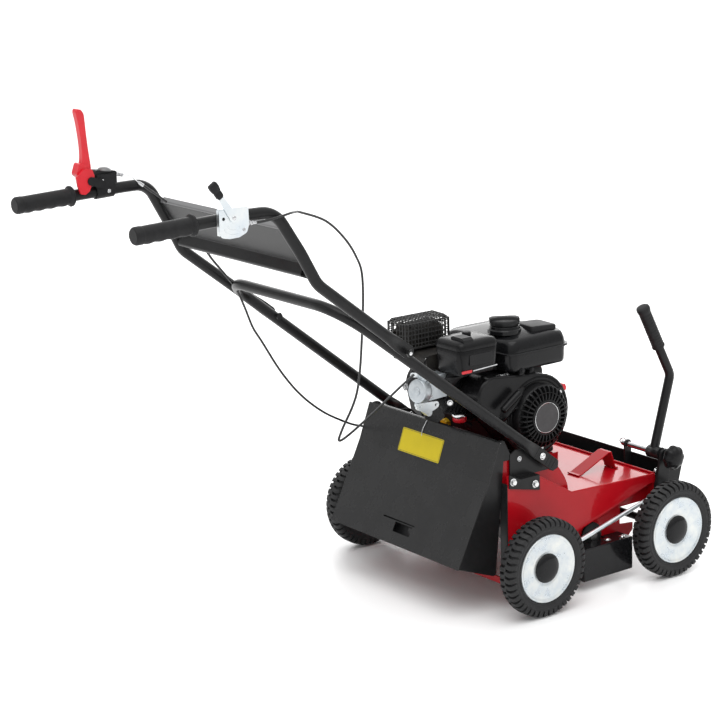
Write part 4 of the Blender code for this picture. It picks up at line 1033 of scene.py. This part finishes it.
def tank_loop(z, inset, r, lift=0.0, n=7):
    out = []
    for x, y in soft_rect(TX0 + inset, TX1 - inset, TY0 + inset, TY1 - inset, r, n):
        zz = z
        if z > 496:
            fall = 1 - min(1.0, max(0.0, (x - TX0) / 128)) ** 0.8
            fore = max(0.0, (TY0 + 60 - y) / 60)
            zz = 496 + (z - 496) * (1 - 0.50 * fall - 0.10 * fore)
        out.append((x, y, zz))
    return out


tank = rings([tank_loop(z_, i_, r_) for z_, i_, r_ in (
    (448.0, 14, 16), (449.3, 9.5, 18), (453, 7.2, 20), (462, 6.0, 22), (472, 5.3, 24), (481.6, 4.7, 24), (483.4, 4.5, 24),
    (483.9, 0.5, 25), (484.3, 0.1, 25), (487.2, 0.1, 25), (487.6, 0.5, 25), (488.1, 4.4, 24), (492, 4.7, 24), (500, 6.0, 24),
    (507.5, 8.0, 25), (511.5, 9.8, 25), (514.2, 12.6, 26), (515.9, 17, 27), (518.4, 26, 28), (521.4, 38, 29), (524.6, 52, 27), (527.0, 66, 17))])
piece("fuel_tank_body", tank, PLASTIC_TANK, "fuel_tank", hide=True, edge=0)
neck = lathe([(0, -6), (34.5, -6), (34.0, 1.5), (31.6, 3.6), (30.6, 9.0), (29.0, 9.8), (0, 9.8)], (64, 98, 524.4), (0, 0, 1), 56)
piece("fuel_tank_neck", neck, PLASTIC_TANK, "fuel_tank", edge=0.5, seg=2)
pad = [soft_rect(46, 104, 138, 206, 9, 4), soft_rect(46, 104, 138, 206, 9, 4), soft_rect(47.5, 102.5, 139.5, 204.5, 8, 4), soft_rect(50, 100, 142, 202, 7, 4)]
zs = [512, 527.0, 529.2, 529.8]
slope = lambda x, y, z: z - 0.12 * max(0, y - 170) - 0.02 * max(0, x - 60)
piece("fuel_tank_pad", rings([[(x, y, slope(x, y, z)) for x, y in row] for row, z in zip(pad, zs)]), PLASTIC_MATT, "fuel_tank", edge=0)
# ---- fuel cap: fluted ring with a broad raised wing
loops = []
for z, r_ in ((534.4, 27.0), (534.9, 29.2), (536.2, 30.2), (543.5, 30.0), (545.2, 28.6), (546.0, 26.0), (546.6, 18.0)):
    row = []
    for k in range(96):
        an = math.tau * k / 96
        rr = r_ * (1 - 0.035 * (0.5 + 0.5 * math.cos(12 * an)) * (1 if r_ > 20 else 0))
        row.append((64 + rr * math.cos(an), 98 + rr * math.sin(an), z))
    loops.append(row)
cap = rings(loops)
wing_dir = Vector((0.55, 0.83, 0)).normalized()
wing_side = Vector((-wing_dir.y, wing_dir.x, 0))
loops = []
for t, hw, top in ((-30.6, 6.5, 547.5), (-30.0, 9.0, 549.4), (-24, 10.6, 551.2), (-13, 8.8, 552.0), (0, 7.4, 552.0), (13, 8.8, 552.0), (24, 10.6, 551.2), (30.0, 9.0, 549.4), (30.6, 6.5, 547.5)):
    c = Vector((64, 98, 0)) + wing_dir * t
    row = []
    for a_, z in ((-hw - 1.6, 541), (-hw - 0.6, 548), (-hw + 1.5, top - 0.8), (-hw * 0.4, top), (hw * 0.4, top), (hw - 1.5, top - 0.8), (hw + 0.6, 548), (hw + 1.6, 541)):
        q = c + wing_side * a_
        row.append((q.x, q.y, z))
    loops.append(row)
piece("fuel_cap_ring", cap, PLASTIC_MATT, "fuel_cap", hide=True, edge=0)
piece("fuel_cap_wing", rings(loops), PLASTIC_MATT, "fuel_cap", edge=0.8, seg=2)

# ---- air filter box
ax0, ax1, ay0, ay1 = 44, 130, -72, 30


def box_loop(z, inset, r, tip=0.0):
    return [(x, y, z - tip * max(0.0, (x - 100) / 30) * 3) for x, y in soft_rect(ax0 + inset, ax1 - inset, ay0 + inset, ay1 - inset, r, 6)]


base = rings([box_loop(464, 9, 9), box_loop(465, 6.5, 10), box_loop(469, 4.5, 12), box_loop(476, 3.2, 13), box_loop(500, 1.4, 14), box_loop(514.0, 0.9, 14), box_loop(515.2, 1.8, 13)])
lid = rings([box_loop(515.4, 1.8, 13), box_loop(515.9, 0.2, 14), box_loop(519, 0.0, 14), box_loop(525, 0.8, 14), box_loop(529.6, 3.0, 14), box_loop(532.4, 7.0, 14), box_loop(534.2, 14, 14), box_loop(535.4, 26, 12), box_loop(535.8, 38, 5)])
piece("air_filter_base", base, PLASTIC, "air_filter_box", hide=True, edge=0)
piece("air_filter_lid", lid, PLASTIC, "air_filter_box", edge=0)
badge = rounded([(-48, 506), (10, 506), (10, 484), (-48, 484)], 3)
piece("air_filter_badge", plate(badge, 129.0, 129.9, to_yz), PLASTIC_TANK, "air_filter_box", edge=0.4)
trim = [rounded([(-66, 475.5), (-40, 475.5), (-42, 470.0), (-66, 470.0)], 1.5), rounded([(-38, 474.0), (24, 476.6), (24, 474.6), (-38, 471.8)], 0.8)]
piece("air_filter_trim_red", plate(trim[0], 126.4, 128.3, to_yz), PLASTIC_RED, "air_filter_box", edge=0.4)
piece("air_filter_trim_bright", plate(trim[1], 126.4, 128.1, to_yz), STEEL, "air_filter_box", edge=0.4)
latch = rounded([(84, 530), (84, 537.6), (90, 540), (118, 540), (124, 536), (126, 528), (122, 526), (118, 532), (92, 533)], 1.2, 3)
piece("air_filter_latch", plate(latch, -58, -34, to_xz), PLASTIC_MATT, "air_filter_box", edge=0.8)
knobby = lathe([(0, 0), (8.5, 0), (9, 1), (9, 6), (7.5, 7.6), (0, 8.0)], (84, -18, 534.8), (0, 0, 1), 30)
piece("air_filter_nut", knobby, PLASTIC_MATT, "air_filter_box", edge=0.3)
# ---- exhaust and its wire guard
mx0, mx1, my0, my1 = -58, -8, -98, 4


def muff(z, inset, r):
    return [(x, y, z) for x, y in soft_rect(mx0 + inset, mx1 - inset, my0 + inset, my1 - inset, r, 5)]


body = rings([muff(495, 9, 9), muff(497, 4, 10), muff(501, 1.2, 12), muff(514.4, 0.6, 12), muff(515, -1.8, 13), muff(517.2, -1.8, 13), muff(517.8, 0.6, 12),
              muff(532, 1.2, 12), muff(539, 3.6, 12), muff(543.4, 8, 11), muff(545, 15, 8)])
piece("muffler_shell", body, HEAT, "muffler", hide=True, edge=0)
bits = [block(mx0 - 1.2, mx1 + 1.2, y, y + 4.2, 503, 529) for y in (-84, -62, -40, -18)]
bits += [lathe([(6.2, 0), (8.6, 0), (8.6, 17), (6.2, 17)], (-33, -96, 522), (0, -0.6, 0.45), 24)]
bits += [rod((-30, -6, 472.4), (-30, -6, 497), 9.0)]
piece("muffler_straps", joined(bits), HEAT, "muffler", edge=0.8)
piece("muffler_nuts", joined([hexbolt((-33 + dx, y, 544.6), (0, 0, 1), 4.6, 3.6, 6.4) for dx, y in ((-12, -80), (12, -80), (-12, -20), (12, -20))]), HEAT, "muffler", edge=0.2, seg=1)
gx0, gx1, gy0, gy1, gz0, gz1 = -64.5, -2.5, -104.5, 12.5, 501.5, 558.5


def cage_loop(inset, z, r=12):
    return [(x, y, z) for x, y in soft_rect(gx0 + inset, gx1 - inset, gy0 + inset, gy1 - inset, r, 5)]


wires = []
for z, inset in ((501.5, 0), (511, -0.6), (520.5, 0.2), (530, -0.4), (539.5, 0), (548.5, 1.0), (555.5, 4.5)):
    wires.append(tube(cage_loop(inset, z), 1.15, 8, closed=True))
for k in range(13):
    y = gy0 + 8 + k * (gy1 - gy0 - 16) / 12
    j = random.uniform(-1.9, 1.9)
    path = fillet([(gx0 - 0.6, y, gz0), (gx0 - 0.3, y + j, 551), (gx0 + 9, y - j, 558.2), (gx1 - 9, y + j, 558.4), (gx1 + 0.3, y, 551), (gx1 + 0.6, y, gz0)], [4, 6, 6, 4], 4)
    wires.append(tube(path, 1.15, 8))
for k in range(6):
    x = gx0 + 8 + k * (gx1 - gx0 - 16) / 5
    j = random.uniform(-1.7, 1.7)
    path = fillet([(x, gy0 - 0.6, gz0), (x + j, gy0 - 0.3, 551), (x - j, gy0 + 9, 557.2), (x + j, gy1 - 9, 557.4), (x, gy1 + 0.3, 551), (x, gy1 + 0.6, gz0)], [4, 6, 6, 4], 4)
    wires.append(tube(path, 1.15, 8))
piece("muffler_guard_wires", joined(wires), WIRE, "muffler_guard", hide=True, edge=0)
frame_bars = []
for z, inset in ((503, 0.6), (552, 1.8)):
    frame_bars.append(tube(cage_loop(inset, z), 1.9, 10, closed=True))
for x, y in ((gx0 + 3, gy0 + 3), (gx1 - 3, gy0 + 3), (gx0 + 3, gy1 - 3), (gx1 - 3, gy1 - 3)):
    frame_bars.append(tube(fillet([(x, y, 496), (x, y, 512), (x, y, 553)], [4], 3), 2.0, 10))
piece("muffler_guard_frame", joined(frame_bars), WIRE, "muffler_guard", edge=0)

# ---- heat shield under the guard, and the shroud that turns down from it behind the filter box
shield = strip(fillet([(0, -92, 474), (0, -88, 490), (0, -76, 493), (0, 8, 493), (0, 14, 470)], [5, 5, 8], 5), -58, 38, 1.0)
piece("exhaust_heat_shield", shield, HEAT, "engine_block", edge=0.4)
side_shield = plate(rounded([(-82, 470), (-86, 488), (-78, 492), (4, 492), (10, 470), (-30, 452)], 5), 36.0, 38.0, to_yz)
piece("exhaust_side_shield", side_shield, HEAT, "engine_block", edge=0.4)

# ---- cooling fins and screws of the inclined cylinder
CT = math.radians(-24)


def C(x, yl, zl):
    """Point on the cylinder, which leans back about the crank line."""
    c_, s_ = math.cos(CT), math.sin(CT)
    return Vector((x, 136 + yl * c_ - zl * s_, 352 + yl * s_ + zl * c_))


fins = []
for k in range(9):
    y = -96 - k * 9.6
    o1 = rounded([(-62, -56), (46, -56), (46, 56), (-62, 56)], 9)
    fins.append(plate(o1, y, y + 2.4, lambda x, z, h: C(x, h, z)))
piece("cylinder_fins", joined(fins), CAST_BLACK, "engine_block", edge=0.7, seg=2)
heads = []
for x, z in ((-46, -30), (-46, 30), (32, -30), (32, 30)):
    c = C(x, -214, z)
    heads.append(hexbolt(c, C(0, -1, 0) - C(0, 0, 0), 5.2, 4.2, 7.2))
piece("rocker_cover_bolts", joined(heads), STEEL, "rocker_cover", edge=0.2, seg=1)

# ---- shroud and fan case details, recoil starter
CR = (136, 349)
ring_r = 66.0
guard = []
steps = 32
for k in range(steps):
    an = math.tau * k / steps
    ca, sa = math.cos(an), math.sin(an)
    w = 2.3
    pts = []
    for r_, x0_, x1_ in ((35.5, 139.0, 147.8), (44, 138.6, 147.9), (54, 137.4, 146.4), (60.5, 134, 143.0), (64.4, 128, 137.5)):
        pts.append((r_, x0_, x1_))
    g = Geo()
    for r_, x0_, x1_ in pts:
        for side_w, xx in ((-w, x0_), (w, x0_), (w * 0.8, x1_), (-w * 0.8, x1_)):
            g.v.append(Vector((xx, CR[0] + r_ * ca - side_w * sa, CR[1] + r_ * sa + side_w * ca)))
    for i in range(len(pts) - 1):
        for q in range(4):
            g.f.append((i * 4 + q, i * 4 + (q + 1) % 4, (i + 1) * 4 + (q + 1) % 4, (i + 1) * 4 + q))
    g.f.append((0, 1, 2, 3))
    n_ = (len(pts) - 1) * 4
    g.f.append((n_ + 3, n_ + 2, n_ + 1, n_))
    guard.append(g)
piece("recoil_vanes", joined(guard), PLASTIC, "recoil_cover", edge=0.5, seg=1)
at = (0, CR[0], CR[1])
shell = lathe([(60.5, 120.4), (66, 120.4), (66, 130), (65.6, 134), (64.6, 136.6), (63.2, 137.6), (61.6, 137.2), (60.8, 135.4), (60.5, 132)], at, (1, 0, 0), 96)
shell = shell + lathe([(0, 120.6), (61, 120.6), (61, 132.5), (58, 134), (0, 134)], at, (1, 0, 0), 72)
piece("recoil_shell", shell, PLASTIC_MATT, "recoil_cover", hide=True, edge=0)
hub = lathe([(0, 133.6), (37.6, 133.6), (37.6, 147.2), (37.0, 149.0), (35.4, 149.8), (33.6, 149.6), (32.6, 148.6), (0, 148.6)], at, (1, 0, 0), 80)
mid = lathe([(50.4, 136), (52.2, 136), (52.2, 146.6), (51.3, 147.2), (50.4, 146.8)], at, (1, 0, 0), 80)
piece("recoil_hub", hub + mid, PLASTIC, "recoil_cover", edge=0)
piece("recoil_badge", lathe([(0, 148.5), (30.2, 148.5), (30.0, 149.3), (0, 149.5)], at, (1, 0, 0), 64), BADGE, "recoil_cover", edge=0)
piece("recoil_badge_rim", lathe([(30.4, 148.5), (31.8, 148.5), (31.7, 149.7), (31.1, 150.0), (30.5, 149.7)], at, (1, 0, 0), 80), CHROME, "recoil_cover", edge=0)
lugs_ = []
for an in (35, 155, 275):
    y, z = CR[0] + 69 * math.cos(math.radians(an)), CR[1] + 69 * math.sin(math.radians(an))
    lugs_.append(lathe([(0, 119.8), (8.5, 119.8), (8.5, 123.5), (7.5, 124.6), (0, 124.6)], (0, y, z), (1, 0, 0), 28))
piece("recoil_lugs", joined(lugs_), PLASTIC, "recoil_cover", edge=0)
piece("recoil_lug_screws", joined([hexbolt((124.5, CR[0] + 69 * math.cos(math.radians(an)), CR[1] + 69 * math.sin(math.radians(an))), (1, 0, 0), 4.2, 3.4) for an in (35, 155, 275)]),
      STEEL, "recoil_cover", edge=0.2, seg=1)
duct = spline([(100, 108, 416), (113, 92, 404), (117, 78, 392), (117, 60, 377), (112, 44, 360), (96, 32, 344)], 6)
piece("fan_housing_duct", tube(duct, lambda t: 11.5 + 2.2 * math.sin(t * math.pi), 24), PLASTIC, "fan_housing", edge=0)
edge_rib = []
for r_ in (79, 72):
    line = [(120.6, CR[0] + r_ * math.cos(math.radians(q)), CR[1] + r_ * math.sin(math.radians(q))) for q in range(-60, 235, 6)]
    edge_rib.append(tube(line, 1.5, 8))
piece("fan_housing_ribs", joined(edge_rib), PLASTIC, "fan_housing", edge=0)
piece("governor_link", tube(spline([(111, 18, 424), (112, 30, 424), (112.5, 48, 421), (113, 66, 417)], 5), 1.1, 8) +
      lathe([(0, -3), (2.4, -2.4), (3.2, 0), (2.4, 2.4), (0, 3)], (113, 68, 416.8), (0, 1, 0), 16), CHROME, "engine_block", edge=0)
piece("governor_spring", joined([tube([(104 + 3.2 * math.cos(q), 40 + q * 0.62, 442 + 3.2 * math.sin(q)) for q in [math.tau * k / 10 for k in range(90)]], 0.55, 6)]),
      CHROME, "engine_block", edge=0)
fit = hexbolt((122, 94, 449), (1, 0, 0), 4.6, 2.6, 6.0) + hexbolt((120, 121, 447), (1, 0, 0), 4.2, 2.6, 5.4)
piece("tank_mount_feet", block(108, 122, 88, 100, 440, 456) + block(108, 120, 116, 126, 440, 455), PLASTIC, "engine_block", edge=0.6, seg=1)
piece("tank_mount_bolts", fit, CAST_BLACK, "engine_block", edge=0.4, seg=1)
piece("engine_switch_rocker", plate(rounded([(209.5, 384), (218.5, 386), (219.5, 391), (216.5, 399), (209.5, 399)], [1, 2, 2, 2, 1]), 101, 115, to_yz),
      PLASTIC_RED, "engine_switch", hide=True, edge=1.2, seg=2)

# ---- carburettor and its controls
cx, cy, cz = 57, -115, 432
bowl = lathe([(0, -12), (16, -12), (21.5, -10.6), (24.0, -7), (24.4, -2), (24.4, 6), (23.2, 11), (20.0, 12), (0, 12)], (cx, cy, cz), (0.15, -1, 0.12), 56)
bowl = bowl + lathe([(0, 11.6), (8.6, 11.6), (8.6, 13.6), (7.2, 14.4), (0, 14.6)], (cx, cy, cz), (0.15, -1, 0.12), 40)
piece("carburettor_bowl", bowl, CAST, "carburettor", hide=True, edge=0.6, seg=2)
cover_top = lathe([(0, 0), (10.5, 0), (11.5, 1.2), (11.5, 7), (9.5, 9), (0, 9.6)], (cx + 2, cy + 8, 455), (0.1, -0.3, 1), 32)
body_c = plate(rounded([(-106, 412), (-60, 414), (-48, 424), (-48, 452), (-62, 462), (-98, 463), (-108, 452)], 5), 44, 69.6, to_yz)
piece("carburettor_body", body_c + cover_top, CAST, "carburettor", edge=2.0, seg=3)
flange = plate(hull_outline([(-124, 402, 7.5), (-82, 399, 7.5), (-102, 396, 11)], 24), 60, 64, to_yz, [disc(-124, 402, 3.0), disc(-82, 399, 3.0)])
piece("carburettor_flange", flange + plate(hull_outline([(-120, 404, 6), (-96, 384, 7)], 24), 50, 60.4, to_yz), ZINC, "carburettor", edge=0.8, seg=2)
sc = [crosshead((69.5, -98, 455), (1, 0, 0), 3.2, 2.0), crosshead((69.5, -98, 420), (1, 0, 0), 3.2, 2.0), crosshead((69.5, -57, 430), (1, 0, 0), 3.2, 2.0)]
piece("carburettor_screws", joined(sc), STEEL, "carburettor", edge=0)
lever_c = plate(hull_outline([(-104, 462, 5), (-134, 468, 4.6)], 20), 54.6, 56.6, to_yz) + rod((57, -104, 452), (57, -104, 470), 3.0)
piece("carburettor_lever", lever_c, ZINC, "carburettor", edge=0.4)
piece("carburettor_bracket", plate(rounded([(-94, 394), (-58, 392), (-40, 362), (-62, 352), (-92, 366)], 5), 38, 41, to_yz), CHARCOAL, "engine_block", edge=0.6)
piece("fuel_line", tube(spline([(70, -70, 448), (84, -62, 452), (92, -40, 456), (88, -10, 458), (80, 30, 456), (78, 62, 452)], 6), 4.0, 14), PLASTIC_MATT, "engine_block", edge=0)
piece("intake_neck", tube(spline([(64, -52, 440), (72, -46, 452), (80, -40, 462), (82, -36, 470)], 5), 14.5, 28), PLASTIC_MATT, "engine_block", edge=0)
white = hexbolt((56, -40, 394), (1, -0.6, 0), 4.6, 4.0, 6.0)
piece("manifold_bolt", white, CHROME, "engine_block", edge=0.3, seg=1)
piece("manifold_bolt_boss", rod((30, -24, 388), (56.5, -40, 394), 8.5, 28), CAST_BLACK, "engine_block", edge=0)
can = lathe([(0, 0), (13.6, 0), (14.2, 1), (14.2, 9), (13.4, 10.4), (0, 10.4)], (44, -6, 348), (0.1, -0.1, 1), 40)
piece("drain_can_red", can, PLASTIC_RED, "engine_block", edge=0)
piece("drain_can_cap", lathe([(0, 10.2), (15.6, 10.2), (16.2, 11.2), (16.2, 17), (15.2, 18.4), (10, 19.2), (0, 19.6)], (44, -6, 348), (0.1, -0.1, 1), 44), CHROME, "engine_block", edge=0)
piece("drain_can_foot", rod((44, -6, 349), (40, 24, 330), 7.0, 24), CAST_BLACK, "engine_block", edge=0)

# ---- oil dipstick: ribbed yellow cap on a collar
dk = []
for z, r_ in ((-0.5, 10.4), (0.5, 11.4), (9, 11.6), (11, 10.8), (12, 8.6)):
    row = []
    for k in range(60):
        an = math.tau * k / 60
        rr = r_ * (1 + 0.06 * math.cos(10 * an))
        row.append((-80 + rr * math.cos(an), 61.6 - z, 303 + rr * math.sin(an)))
    dk.append(row)
piece("dipstick_cap", rings(dk) + plate(rounded([(-90, 300), (-70, 300), (-70, 306), (-90, 306)], 2.5), 45.6, 50.5, to_xz), PLASTIC_YELLOW, "dipstick", hide=True, edge=0.5, seg=2, angle=50)

# ---- shoulder plates with a curved front edge, rolled tops on the side walls
for s, word in ((1, "right"), (-1, "left")):
    curve = spline([(62, 286, 0), (84, 282, 0), (104, 273, 0), (119, 260, 0), (130, 245, 0), (138, 231, 0), (142.5, 219, 0), (145, 206, 0)], 5)
    shoulder = [(70, 243), (22, 247), (22, 286)] + [(q.x, q.y) for q in curve] + [(134, 203.5)]
    lo, hi = sorted((s * 199.8, s * 202.3))
    piece("hood_shoulder_" + word, plate(shoulder, lo, hi, to_yz), RED, "deck_shell", edge=0.5)
    top_edge = fillet([(s * 223.6, 46, 260.6), (s * 223.6, 134, 209.3), (s * 223.6, 365.4, 200.4)], [14], 6)
    piece("wall_top_roll_" + word, tube(top_edge, 1.75, 12), RED, "deck_shell", edge=0)
# ---- rolled front edge of the hood, black strips across the rear ends of the side walls, black plates over the hinge ears
piece("hood_front_bead", tube([(-221.5, 364, 201.5), (0, 364, 201.5), (221.5, 364, 201.5)], 2.6, 20, (0, 1, 0)), RED, "deck_shell", edge=0)
for s, word in ((1, "right"), (-1, "left")):
    lo, hi = sorted((s * 203.6, s * 225.2))
    piece("deck_side_seal_" + word, block(lo, hi, -36.8, -35.2, 48, 261), BLACK, "deck_shell", edge=0.4)
    lo, hi = sorted((s * 196.6, s * 204.3))
    ear_cover = [(-32.5, 302), (-4.5, 302), (-24.6, 342.7), (-30, 343.9), (-36, 343.9), (-39.5, 343.0), (-41.9, 340.5), (-42.9, 337),
                (-41.9, 333.5), (-38.9, 330.1), (-32.5, 323)]
    piece("hinge_ear_trim_" + word, plate(ear_cover, lo, hi, to_yz), BLACK, "deck_shell", edge=0)

# ---- fasteners on the sheet metal
for s, word in ((1, "right"), (-1, "left")):
    x = 228.4 if s > 0 else -228.4
    piece("bracket_bolts_" + word, hexbolt((x, -24, 264), (s, 0, 0), 6.2, 4.4, 7.8) + hexbolt((x, 33, 249), (s, 0, 0), 6.2, 4.4, 7.8),
          CHROME, "handle_bracket_" + word, edge=0)
    x = 205.6 if s > 0 else -205.6
    piece("bracket_screw_" + word, domebolt((x, 12, 300), (s, 0, 0), 4.2, 2.8, 5.6), STEEL, "handle_bracket_" + word, edge=0)
piece("skirt_bolts", domebolt((230, 226, 90), (0, 0, 1), 5.6, 3.6, 7.6) + domebolt((236, 262, 90), (0, 0, 1), 4.6, 3.2, 6.4), CHROME, "side_skirt", edge=0)
piece("link_rod_nuts", joined([hexbolt((247, 20, 81.5), (1, 0, 0), 7.0, 5.0, 9.0), hexbolt((247, 388, 172.3), (1, 0, 0), 7.0, 5.0, 9.0)]), STEEL, "link_rod", edge=0.3, seg=1)
piece("front_frame_bolt", domebolt((222, 372, 205), (1, 0, 0), 5.0, 3.6, 7.0), CHROME, "front_frame", edge=0)
clip = spline([(118, 388, 244), (112, 384, 250), (106, 380, 246), (104, 384, 238), (108, 392, 232), (116, 396, 236), (122, 390, 240)], 6)
piece("pivot_clip", tube(clip, 1.2, 8), STEEL, "lever_pivot_rod", edge=0)

# ================================================================ floor and light
floor_mesh = bpy.data.meshes.new("floor")
floor_mesh.from_pydata([(-30, -30, -0.0005), (30, -30, -0.0005), (30, 30, -0.0005), (-30, 30, -0.0005)], [], [(0, 1, 2, 3)])
floor = bpy.data.objects.new("floor", floor_mesh)
bpy.context.scene.collection.objects.link(floor)
floor_paint = finish("pale_floor", (0.96, 0.96, 0.96), (0.97, 0.97, 0.97), (0.35, 0.45), grain=3, relief=0.0, relief_size=20, specular=0.25)
floor_mesh.materials.append(floor_paint)

world = bpy.data.worlds.new("studio")
bpy.context.scene.world = world
world.use_nodes = True
bg = world.node_tree.nodes["Background"]
# the studio is brighter overhead than near the horizon
wt = world.node_tree
sky_c = wt.nodes.new("ShaderNodeTexCoord")
sky_s = wt.nodes.new("ShaderNodeSeparateXYZ")
sky_r = wt.nodes.new("ShaderNodeMapRange")
sky_r.inputs["From Min"].default_value = 0.0
sky_r.inputs["From Max"].default_value = 1.0
sky_r.inputs["To Min"].default_value = 0.55
sky_r.inputs["To Max"].default_value = 1.45
wt.links.new(sky_c.outputs["Generated"], sky_s.inputs[0])
wt.links.new(sky_s.outputs[2], sky_r.inputs["Value"])
wt.links.new(sky_r.outputs[0], bg.inputs[1])
bg.inputs[0].default_value = (1.0, 1.0, 1.0, 1)


def area(name, at_, to, size, power, size_y=None):
    d_ = bpy.data.lights.new(name, "AREA")
    d_.energy = power
    d_.size = size
    if size_y:
        d_.shape = "RECTANGLE"
        d_.size_y = size_y
    o = bpy.data.objects.new(name, d_)
    o.location = at_
    o.rotation_euler = (Vector(to) - Vector(at_)).to_track_quat("-Z", "Y").to_euler()
    bpy.context.scene.collection.objects.link(o)


sun = bpy.data.lights.new("soft_key", "SUN")
sun.energy = 1.1
sun.angle = math.radians(50)
sun_o = bpy.data.objects.new("soft_key", sun)
sun_o.rotation_euler = (Vector((0, 0, 0)) - Vector((1.1, -0.8, 2.6))).to_track_quat("-Z", "Y").to_euler()
bpy.context.scene.collection.objects.link(sun_o)
area("far_softbox", (-4.0, 3.2, 2.3), (0, 0, 0.5), 4.6, 78, 2.4)
